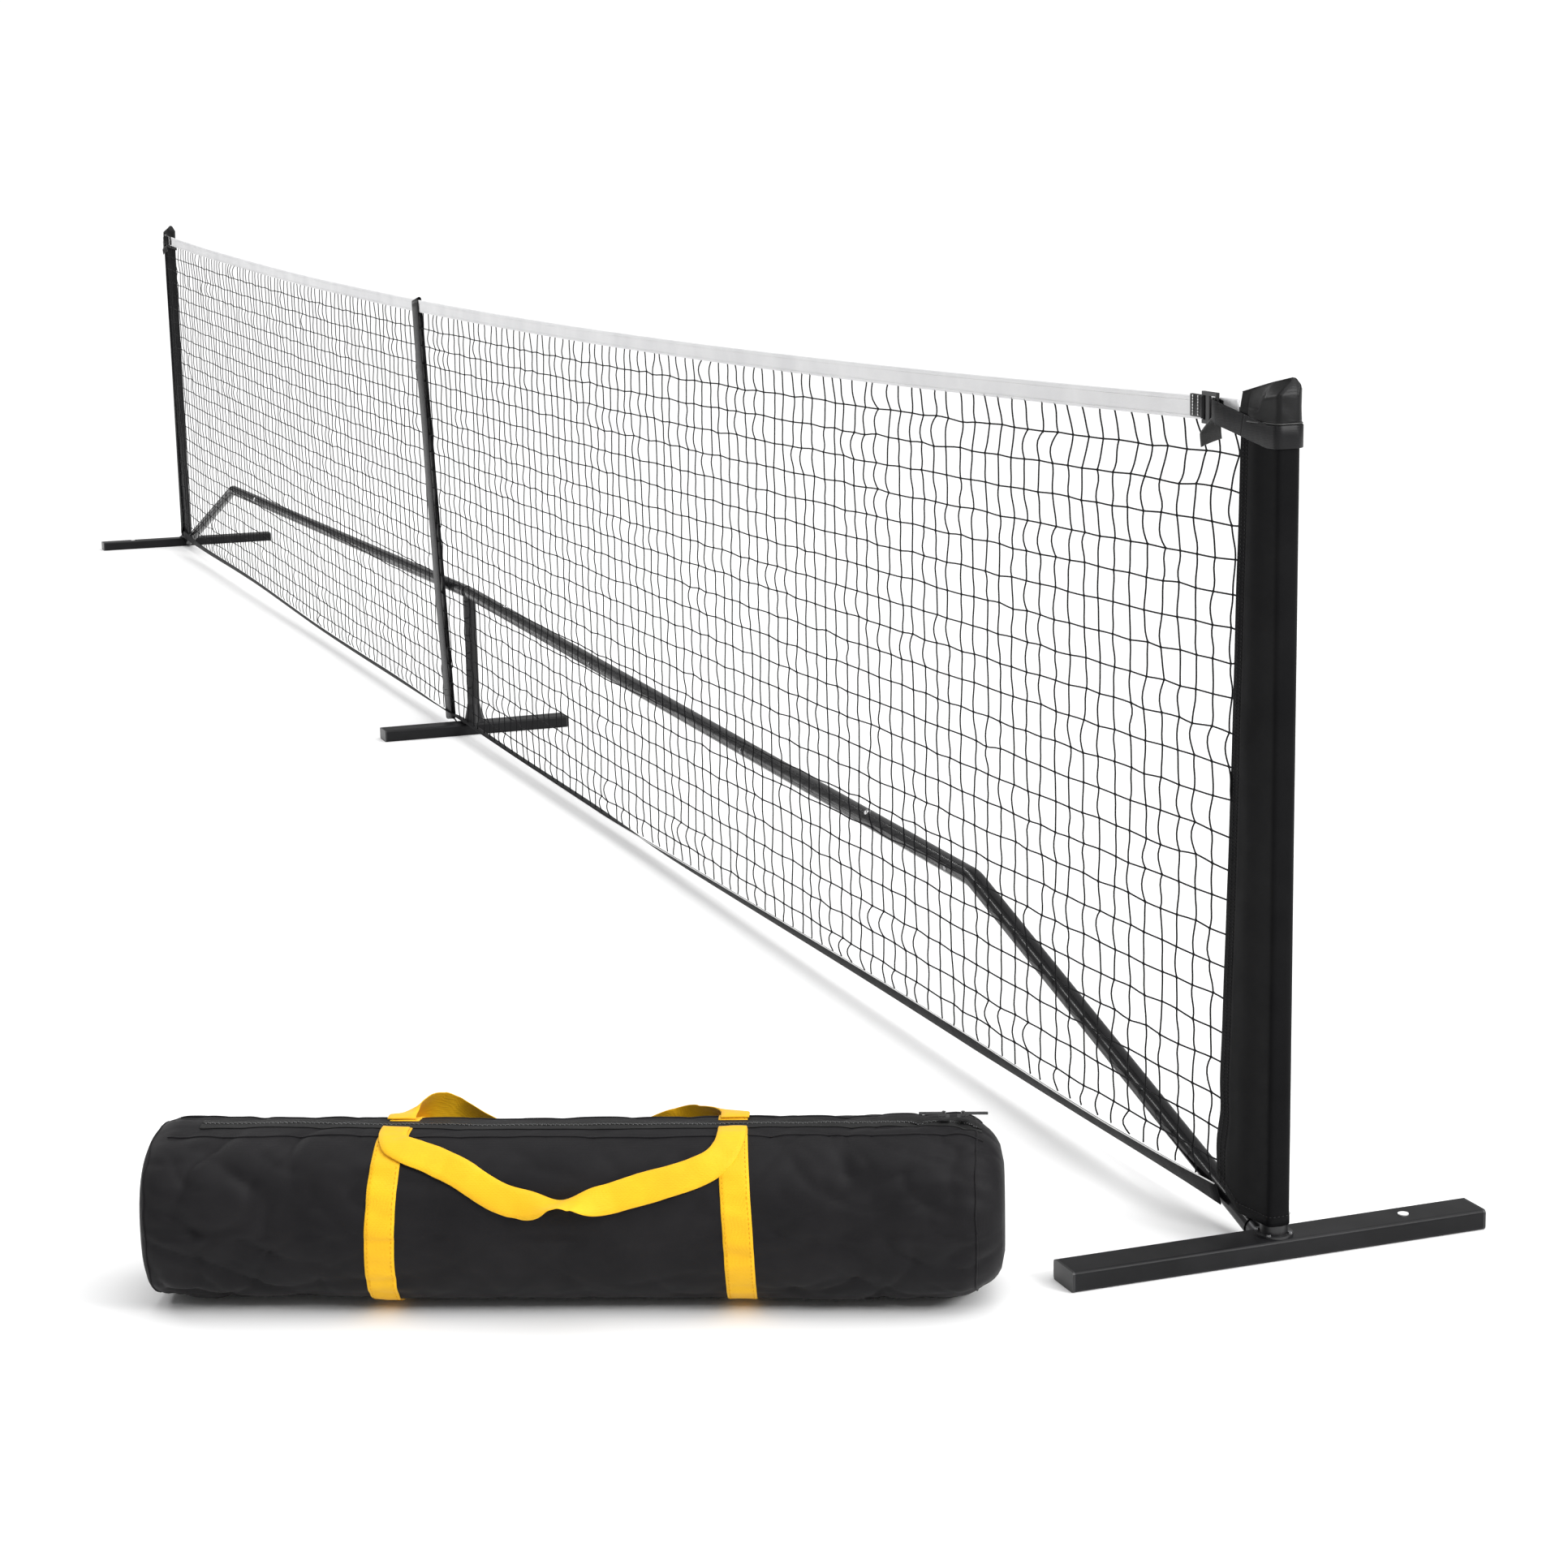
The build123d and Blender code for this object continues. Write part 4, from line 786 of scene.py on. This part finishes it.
def make_strap(name, side):
    """Webbing from behind the tape round the post, and through the buckle to its loose tail."""
    back = [(-0.156, -0.0192), (-0.072, -0.0192), (-0.054, -0.016), (-0.0064, 0.0182), (0.0106, 0.0182)]
    back += [(0.0172, 0.0104), (0.0176, -0.0169), (SPLIT_U, -0.02533)]
    wrap = plan_band(side, back, 0.006, 0.0006)
    piece(f"{name}_strap_wrap", wrap, ROOT, "webbing_black", f"{name}_tension_strap")

    front = [(SPLIT_U, -0.02533), (-0.053, -0.0272), (-0.076, -0.0312), (-0.089, -0.0330), (-0.0970, -0.0312)]
    front += [(-0.0985, -0.0280), (-0.0962, -0.0248), (-0.0875, -0.0245)]
    rows, columns = 16, 8
    tail = []
    for i in range(rows + 1):
        s = i / rows
        left = np.array([-0.0965 - 0.0085 * min(1, s * 1.8) ** 0.8, 0.9030 - 0.0385 * s])
        right = np.array([-0.0872 - 0.0012 * s, 0.9030 - 0.0290 * s])
        for j in range(columns + 1):
            a = j / columns
            u, z = left + (right - left) * a
            curl = -0.0016 * sin(pi * s * 0.9) + 0.0018 * (a - 0.5) ** 2 * 4 * s - 0.0006
            turn = 0.0150 * (1 - a) * min(1, s * 1.6)
            tail.append((side * (POST_X + u - 0.002 * s), -0.0246 + curl - turn, z))
    sheet = np.array(tail)
    back_side = sheet + np.array([0, STRAP_THICK, 0])
    faces = grid_faces(rows + 1, columns + 1, False)
    shift = len(sheet)
    faces += [tuple(shift + i for i in reversed(f)) for f in faces]
    edge = list(range(columns + 1))
    edge += [i * (columns + 1) + columns for i in range(1, rows + 1)]
    edge += [rows * (columns + 1) + j for j in range(columns - 1, -1, -1)]
    edge += [i * (columns + 1) for i in range(rows - 1, 0, -1)]
    for a, b in zip(edge, edge[1:] + edge[:1]):
        faces.append((b, a, shift + a, shift + b))
    tail = np.vstack([sheet, back_side]), faces
    replaced = f"{name}_strap_tail"
    # The tail gets the lighter copy of the strap webbing, painted light on its lit face.
    piece(f"{name}_strap_end", tail, f"{name}_buckle", "webbing_black", replaced, look="webbing_tail_painted_light")
    strap = add_mesh(f"{name}_strap_front", *plan_band(side, front, 0.004))
    strap.data.materials.append(MATERIALS["webbing_black"])
    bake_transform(strap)


def make_tab(side):
    """A tab of webbing doubled round the buckle's hinge bar and sewn to the tape."""
    reach = 0.0031
    route = [(-0.158, -0.0230), (-0.127, -0.0230), (-0.1235, -0.0246)]
    round_bar = np.linspace(radians(130), radians(-130), 12)
    route += [(HINGE_U + reach * cos(a), BUCKLE_Y + reach * sin(a)) for a in round_bar]
    route += [(-0.1262, -0.0262), (-0.130, -0.0249), (-0.158, -0.0249)]
    flat = divided(softened(divided(route, 0.0008), 2), 0.0012)
    path = np.column_stack([side * (POST_X + flat[:, 0]), flat[:, 1], np.full(len(flat), BUCKLE_Z)])
    out = side * np.cross(tangents(path), (0, 0, 1))
    return band(path, out, STRAP_WIDTH, 0.0011)


def make_tabs():
    """Both sewn tabs and their white stitching."""
    tabs = join(*(make_tab(side) for side in SIDES.values()))
    piece("strap_tab_webbing", tabs, ROOT, "webbing_black", "strap_tabs")
    dashes = []
    for side in SIDES.values():
        for u in (-0.1515, -0.1395):
            x = side * (POST_X + u)
            for z in np.arange(BUCKLE_Z - 0.0105, BUCKLE_Z + 0.0095, 0.0032):
                dashes.append(((x, -0.0257, z), (x + 0.0002, -0.0259, z + 0.0011), (x, -0.0257, z + 0.0022)))
    stitches = strands(dashes, 0.00062, 6, (0, 1, 0))
    piece("strap_tab_stitches", stitches, ROOT, "tape_white", look="thread_white")


for end, way in SIDES.items():
    make_strap(end, way)
make_tabs()


# --- Centre strap ---
def make_centre_strap():
    """The broad strap folded over the tape and round the hook at the middle foot."""
    top = np.array([-0.257, 0.8669])
    bottom = np.array([-0.107, 0.0136])
    down = unit(bottom - top)
    across_flat = np.array([-down[1], down[0]])
    length = float(np.linalg.norm(bottom - top))
    y_front, y_back = -0.0253, -0.0177
    s = np.linspace(0.010, 1 - 0.006 / length, 90)
    turn = np.linspace(pi, 0, 9)
    fold = NET_Y + (y_back - NET_Y) * np.cos(turn)
    bow = 0.0016 * np.sin(pi * s) + 0.0012 * wander(s * 5, 0, 0)
    front, back = (s * length, y_front - bow), (s * length, y_back + 0.0006 * np.sin(pi * s))
    under = (length - 0.0045 + 0.0050 * np.sin(turn), fold)
    over = (0.0050 - 0.0046 * np.sin(turn), fold)
    loop = np.hstack([front, under, np.flip(back, 1), np.flip(over, 1)]).T
    x, z = (top[k] + down[k] * loop[:, 0] for k in range(2))
    path = np.column_stack([x, loop[:, 1], z])
    path = np.vstack([path, path[:1]])
    across = np.array([across_flat[0], 0.0, across_flat[1]])
    out = unit(np.cross(across, tangents(path)))
    out[-1] = out[0]
    strap = sweep_section(path, across, out, band_section(0.050, STRAP_THICK))
    piece("centre_strap_webbing", strap, ROOT, "webbing_black", "centre_strap")
    dashes = []
    for level in (0.050, 0.062, length - 0.060, length - 0.048):
        middle = top + down * level
        for w in np.arange(-0.021, 0.020, 0.0042):
            a, b = middle + across_flat * w, middle + across_flat * (w + 0.0027)
            y = y_front - 0.0016 * sin(pi * level / length) - 0.0009
            dashes.append(((a[0], y, a[1]), (b[0], y, b[1])))
    stitches = strands(dashes, 0.0004, 4, (0, 1, 0))
    piece("centre_strap_stitches", stitches, ROOT, "webbing_black", look="thread_black")


make_centre_strap()


# --- Carry bag ---
BAG_CENTRE = np.array((3.1685, -0.7246, 0.0))
BAG_TURN = radians(66.85)
BAG_AXIS = np.array((cos(BAG_TURN), sin(BAG_TURN), 0.0))
BAG_FRONT = np.array((sin(BAG_TURN), -cos(BAG_TURN), 0.0))
UP = np.array((0.0, 0.0, 1.0))
BAG_LENGTH = 0.895
BAG_DEPTH = 0.190
BAG_HEIGHT = 0.185
BAG_LOW = 0.0025
BAG_MID = BAG_LOW + BAG_HEIGHT / 2
BAG_SQUARENESS = 2.45
BAG_ROWS = 200
BAG_COLUMNS = 150
BAND_WIDTH = 0.031
ZIP_GAP = 0.0150
LEFT_BAND = -0.192
RIGHT_BAND = 0.170
# Each run of creases: tilt, fineness, depth and where its noise starts.
CREASES = ((0.9, 2.6, 0.0036, 3.0), (-1.2, 3.4, 0.0028, 11.0), (2.2, 4.6, 0.0017, 23.0))
# Where seams gather the cloth, and how far along the bag that reaches.
PUCKERS = ((LEFT_BAND, 0.030), (RIGHT_BAND, 0.030), (-0.415, 0.040), (0.400, 0.050))
ZIP_RADIUS = 0.0925
HANDLE_RADIUS = 0.093


def section_radius(angle):
    """The bag's radius at an angle from its front, measured round toward its top."""
    c, s = np.abs(np.cos(angle)), np.abs(np.sin(angle))
    p = BAG_SQUARENESS
    return ((c / (BAG_DEPTH / 2)) ** p + (s / (BAG_HEIGHT / 2)) ** p) ** (-1 / p)


def end_profile(along):
    """How much of the bag's radius is left at each place along it, less at its rounded ends."""
    share = np.ones_like(along)
    for outward, reach, loss in ((-along, 0.030, 0.19), (along, 0.050, 0.52)):
        near = np.clip((outward - BAG_LENGTH / 2 + reach) / reach, 0, 1)
        share -= loss * (1 - np.sqrt(np.clip(1 - near**2, 0, 1)))
    return share


def fabric_fold(along, angle):
    """How far the bag's cloth is pushed in by lumps, creases and puckers."""
    x, y, z = along * 9, cos(angle) * 1.1, sin(angle) * 1.1
    dent = 0.0030 * (noise.noise((x * 0.5, y, z)) - 0.1)
    for tilt, size, depth, shift in CREASES:
        u = along * 9 * size * 0.55 + tilt * angle
        v = angle * size * 0.55 - tilt * along * 3
        ridge = 1 - abs(noise.noise((u * 0.8 + shift, v * 0.8, shift)) * 2.2)
        dent += depth * (max(ridge, 0) ** 3) * (0.45 + 0.75 * min(1.0, (abs(along) / 0.33) ** 2))
    for spot, reach in PUCKERS:
        pull = exp(-abs(along - spot) / reach)
        dent += 0.0030 * pull * noise.noise((angle * 6.5, spot * 40, along * 8))
    return dent


def bag_points():
    """The bag's skin as a grid: rows along it, columns round it, starting at the front."""
    half = BAG_LENGTH / 2
    ease = np.linspace(-1, 1, BAG_ROWS)
    along = half * (0.82 * ease + 0.18 * np.sin(ease * pi / 2))
    along[0], along[-1] = -half, half
    share = end_profile(along)
    angle = 2 * pi * np.arange(BAG_COLUMNS) / BAG_COLUMNS
    grid = np.empty((BAG_ROWS, BAG_COLUMNS, 3))
    for i, t in enumerate(along):
        edge = min(1.0, (half - abs(t)) / 0.02)
        for j, a in enumerate(angle):
            fold = fabric_fold(t, a) * edge
            on_top = max(0.0, sin(a)) ** 6 * abs(t - 0.395) ** 0.3
            radius = section_radius(a) * share[i] - fold * (1 - 0.75 * on_top)
            n, z = radius * cos(a), BAG_MID + radius * sin(a)
            droop = 0.0035 * max(0.0, sin(a)) ** 2 * (0.5 + 0.5 * cos(2 * pi * t / 0.75))
            z -= droop * (1 if abs(t) < 0.36 else 0.4)
            low = BAG_LOW - 0.0008
            if z < low + 0.006:
                z = low + 0.006 * exp((z - low - 0.006) / 0.012)
            grid[i, j] = (t, n, z)
    return grid


BAG_GRID = bag_points()


def bag_world(points):
    """Points given as (along, to the front, up) turned and moved to where the bag lies."""
    points = np.asarray(points, float)
    axes = np.array((BAG_AXIS, BAG_FRONT, UP))
    return BAG_CENTRE + sum(points[..., k : k + 1] * axes[k] for k in range(3))


def bag_normals(grid):
    """Outward directions of the bag's skin, in its own axes."""
    along = np.gradient(grid, axis=0)
    wrapped = np.concatenate([grid[:, -1:], grid, grid[:, :1]], axis=1)
    around = (wrapped[:, 2:] - wrapped[:, :-2]) / 2
    return unit(np.cross(around, along))


BAG_NORMALS = bag_normals(BAG_GRID)


def on_bag(along, angle, lift):
    """Points on the bag's skin, lifted off it, in the bag's own axes."""
    along, angle, lift = np.broadcast_arrays(*(np.asarray(v, float) for v in (along, angle, lift)))
    row = np.interp(along, BAG_GRID[:, 0, 0], np.arange(BAG_ROWS))
    column = np.mod(angle, 2 * pi) / (2 * pi) * BAG_COLUMNS
    i = np.clip(row.astype(int), 0, BAG_ROWS - 2)
    j = column.astype(int) % BAG_COLUMNS
    fi, fj = (row - i)[..., None], (column - column.astype(int))[..., None]
    k = (j + 1) % BAG_COLUMNS

    def blend(grid):
        return (
            grid[i, j] * (1 - fi) * (1 - fj)
            + grid[i + 1, j] * fi * (1 - fj)
            + grid[i, k] * (1 - fi) * fj
            + grid[i + 1, k] * fi * fj
        )

    return blend(BAG_GRID) + unit(blend(BAG_NORMALS)) * lift[..., None]


def angle_at_height(z):
    """The angle round the bag at which the upper half of its front is at a height."""
    table = np.linspace(-0.9, pi / 2, 400)
    height = BAG_MID + section_radius(table) * np.sin(table)
    return np.interp(z, height, table)


def make_bag_body():
    """The bag's cloth body with closed ends."""
    faces = grid_faces(BAG_ROWS, BAG_COLUMNS, True)
    verts = [bag_world(BAG_GRID).reshape(-1, 3)]
    count = BAG_ROWS * BAG_COLUMNS
    for end, way in ((0, -1), (BAG_ROWS - 1, 1)):
        rim = BAG_GRID[end]
        middle = np.array([rim[:, 0].mean(), 0, BAG_MID])
        previous = [end * BAG_COLUMNS + j for j in range(BAG_COLUMNS)]
        for share in (0.9, 0.75, 0.55, 0.35, 0.15):
            ring = middle + (rim - middle) * share
            turn = 2 * pi * np.arange(BAG_COLUMNS) / BAG_COLUMNS
            ripple = wander(share * 5, np.cos(turn) * 2, way)
            ring[:, 0] += -way * 0.0015 * (1 - share) + 0.001 * ripple
            verts.append(bag_world(ring))
            current = [count + j for j in range(BAG_COLUMNS)]
            for j in range(BAG_COLUMNS):
                k = (j + 1) % BAG_COLUMNS
                quad = (previous[j], previous[k], current[k], current[j])
                faces.append(quad if way > 0 else tuple(reversed(quad)))
            previous = current
            count += BAG_COLUMNS
        faces.append(tuple(previous) if way > 0 else tuple(reversed(previous)))
    piece("bag_cloth", (np.vstack(verts), faces), "bag", "bag_polyester", "bag_body")
    for end, t in (("left", -BAG_LENGTH / 2 + 0.007), ("right", BAG_LENGTH / 2 - 0.030)):
        angle = np.linspace(0, 2 * pi, 241)
        sway = 0.003 * wander(np.cos(angle) * 3, np.sin(angle) * 3, t)
        rim = bag_world(on_bag(t + sway, angle, 0.0001))
        rim[:, 2] = np.maximum(rim[:, 2], 0.0014)
        piece(f"bag_piping_{end}", rod(rim, 0.0011, 8, BAG_AXIS), "bag", "bag_polyester")
    for angle, name in ((1.22, "front"), (pi - 1.22, "back")):
        t = np.linspace(-0.425, 0.425, 220)
        sway = wander(t * 11, angle, 2.0) * 0.05
        seam = bag_world(on_bag(t, angle + sway, 0.0003))
        piece(f"bag_top_seam_{name}", rod(seam, 0.0011, 6), "bag", "bag_polyester")


def strip_on_bag(along, angle, across_t, across_a, width, thick, lift, twist):
    """Webbing on the bag's skin. across_t and across_a turn a distance across it into place."""
    shares = np.array([-1, -0.94, -0.6, 0, 0.6, 0.94, 1])
    half = width / 2
    top, bottom = [], []
    for share in shares:
        reach = half * share
        rise = lift + reach * np.sin(twist)
        shown = reach * np.cos(twist)
        edge = thick * (0.35 if abs(share) == 1 else 1.0)
        top.append(on_bag(along + across_t * shown, angle + across_a * shown, rise + edge))
        bottom.append(on_bag(along + across_t * shown, angle + across_a * shown, rise))
    ring = np.stack(top + bottom[::-1], axis=1)
    return bag_world(ring).reshape(-1, 3), tube_faces(*ring.shape[:2])


def make_bands():
    """The two yellow bands sewn round the bag, and their stitching."""
    gap = asin(min(1.0, ZIP_GAP / (BAG_DEPTH / 2)))
    start = pi / 2 - gap * 0.95
    angle = np.linspace(start, start - 2 * pi + 1.9 * gap, 220)
    pieces, dashes = [], []
    for middle, bow, lean in ((LEFT_BAND + 0.003, -0.006, 0.005), (RIGHT_BAND - 0.001, 0.005, -0.004)):
        t = middle + bow * np.cos(angle) + lean * np.sin(angle)
        zero, one = np.zeros_like(t), np.ones_like(t)
        pieces.append(strip_on_bag(t, angle, one, zero, BAND_WIDTH, 0.0014, zero + 0.0003, zero))
        for side in (-1, 1):
            line = bag_world(on_bag(t + side * 0.0125, angle, 0.0019))
            line[:, 2] = np.maximum(line[:, 2], 0.0006)
            dashes += dashed(line)
    verts, faces = join(*pieces)
    verts[:, 2] = np.maximum(verts[:, 2], 0.0003)
    piece("bag_band_webbing", (verts, faces), "bag", "webbing_yellow", "bag_bands")
    stitches = strands(dashes, 0.0004, 4, BAG_AXIS)
    piece("bag_band_stitches", stitches, "bag", "webbing_yellow", look="thread_yellow")


HANDLE_WIDTH = 0.030
HANDLE_ROUTE = (
    (-0.186, 0.1862), (-0.187, 0.1845), (-0.181, 0.1785), (-0.164, 0.1740),
    (-0.144, 0.1700), (-0.110, 0.1577), (-0.076, 0.1390), (-0.047, 0.1300),
    (-0.008, 0.1300), (0.033, 0.1335), (0.068, 0.1420), (0.109, 0.1520),
    (0.140, 0.1620), (0.157, 0.1715), (0.165, 0.1815), (0.166, 0.1862),
)


def make_handle(name, facing):
    """A limp webbing handle from band to band, with a twist where it hangs lowest."""
    route = np.array(HANDLE_ROUTE)
    route = np.column_stack([route[:, 0], angle_at_height(route[:, 1])])
    route[0, 1] = route[-1, 1] = pi / 2 - 0.17
    flat = np.column_stack([route[:, 0], route[:, 1] * HANDLE_RADIUS])
    line = divided(softened(divided(smooth_path(flat, 10), 0.003), 4), 0.0028)
    share = np.linspace(0, 1, len(line))
    step = tangents(line)
    across_t, across_a = -step[:, 1], step[:, 0] / HANDLE_RADIUS
    t, angle = line[:, 0], line[:, 1] / HANDLE_RADIUS
    pinch = np.exp(-(((t + 0.006) / 0.030) ** 2))
    if facing > 0:
        twist = -radians(68) * pinch + radians(7) * np.sin(share * 9)
        lift = 0.0030 + 0.011 * pinch + 0.0012 * (1 + np.sin(share * 13))
    else:
        angle = pi - angle
        across_a = -across_a
        left = np.exp(-(((t + 0.150) / 0.030) ** 2))
        right = np.exp(-(((t - 0.110) / 0.040) ** 2))
        twist = radians(50) * left + radians(34) * right
        lift = 0.0030 + 0.013 * left + 0.009 * right + 0.0010 * (1 + np.sin(share * 11))
    ends = np.clip(np.minimum(share, 1 - share) / 0.08, 0, 1)
    lift = 0.0024 + (lift - 0.0024) * ends
    twist = twist * ends
    shape = strip_on_bag(t, angle, across_t, across_a, HANDLE_WIDTH, 0.0015, lift, twist)
    handle = add_mesh(f"{name}_handle_webbing", *shape)
    handle.data.materials.append(MATERIALS["webbing_yellow"])
    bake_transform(handle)
    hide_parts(f"{name}_handle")


TOOTH_SIDES = ((0, 1, 5, 4), (1, 2, 6, 5), (2, 3, 7, 6), (3, 0, 4, 7), (4, 5, 6, 7), (3, 2, 1, 0))


def make_zip():
    """The zip's two tapes and its row of teeth along the top of the bag."""
    start, end = -0.395, 0.424
    t = np.linspace(start, end, 260)
    zero, one = np.zeros_like(t), np.ones_like(t)
    sway = wander(t * 7, 5.0, 1.0) * 0.018 * np.clip((0.36 - np.abs(t)) / 0.05, 0, 1)
    shapes = []
    for side in (-1, 1):
        angle = pi / 2 + side * (0.0069 / ZIP_RADIUS) + sway
        shapes.append(strip_on_bag(t, angle, zero, one / ZIP_RADIUS, 0.0115, 0.0008, zero + 0.0004, zero))
    piece("bag_zip_tapes", join(*shapes), "bag", "zip_black", "bag_zip_tape", look="zip_tape")
    pitch = 0.0024
    verts, faces = [], []
    for k, v in enumerate(np.arange(start + 0.004, end - 0.004, pitch)):
        turn = pi / 2 + np.interp(v, t, sway)
        way = 1 if k % 2 else -1
        low = on_bag(v, turn, 0.0004)
        box = []
        for dz in (0.0, 0.0016):
            for dt, dn in ((-0.42, -1.0), (0.42, -1.0), (0.42, 0.35), (-0.42, 0.35)):
                grow = 1.0 if dz == 0 else 0.8
                box.append(low + (dt * pitch * grow * 1.5, way * dn * 0.0022 * grow, dz))
        verts.extend(bag_world(np.array(box)))
        faces += [tuple(8 * k + i for i in side) for side in TOOTH_SIDES]
    piece("bag_zip_teeth", (np.array(verts), faces), "bag", "zip_black")


make_bag_body()
make_bands()
for end, way in (("front", 1), ("back", -1)):
    make_handle(end, way)
make_zip()


# --- Studio ---
SURROUND = 0.42
SKY_STRENGTH = 2.7
WHITE_GROUND = 1.05  # what the camera sees behind the net, where surfaces are lit by SURROUND
# Name, place, aim, size and power of each soft light.
STUDIO_LIGHTS = (
    ("side", (6.9, 2.2, 2.7), (3.3, 0.0, 0.8), (1.4, 1.4), 110),
    ("front", (6.0, -3.4, 3.2), (3.2, -0.6, 0.2), (1.6, 0.5), 22),
    ("line", (-1.5, -2.6, 3.6), (0.5, 0.0, 0.3), (6.0, 0.16), 70),
)


def make_studio():
    """A pale plain floor that runs into a white surround, a soft sky and three soft lights."""
    bpy.ops.mesh.primitive_plane_add(size=60, location=(0, 0, 0))
    floor = bpy.context.object
    floor.name = "studio_floor"
    look = Look("studio_floor")
    look.tones(0.93, 0.95, 0.8)
    look.fill(look.shader, Roughness=0.8, **{"Specular IOR Level": 0.1})
    floor.data.materials.append(look.material)

    world = bpy.data.worlds.new("studio")
    world.use_nodes = True
    tree = world.node_tree
    background = tree.nodes["Background"]
    seen = tree.nodes.new("ShaderNodeLightPath")
    level = tree.nodes.new("ShaderNodeMapRange")
    level.inputs["To Min"].default_value = SURROUND
    level.inputs["To Max"].default_value = WHITE_GROUND
    background.inputs["Color"].default_value = (1.0, 1.0, 1.0, 1)
    tree.links.new(seen.outputs["Is Camera Ray"], level.inputs["Value"])
    tree.links.new(level.outputs["Result"], background.inputs["Strength"])
    scene.world = world

    sun = bpy.data.lights.new("sky", "SUN")
    sun.energy = SKY_STRENGTH
    sun.angle = radians(75)
    sky = add_object("sky", sun)
    sky.rotation_euler = Vector((-0.30, -0.35, -1.0)).to_track_quat("-Z", "Y").to_euler()
    for name, spot, target, size, power in STUDIO_LIGHTS:
        data = bpy.data.lights.new(name, "AREA")
        data.shape = "RECTANGLE"
        data.size, data.size_y = size
        data.energy = power
        light = add_object(name, data)
        light.location = spot
        aim = Vector(target) - Vector(spot)
        light.rotation_euler = aim.to_track_quat("-Z", "Y").to_euler()
    scene.view_settings.view_transform = "Standard"
    scene.view_settings.look = "None"


make_studio()
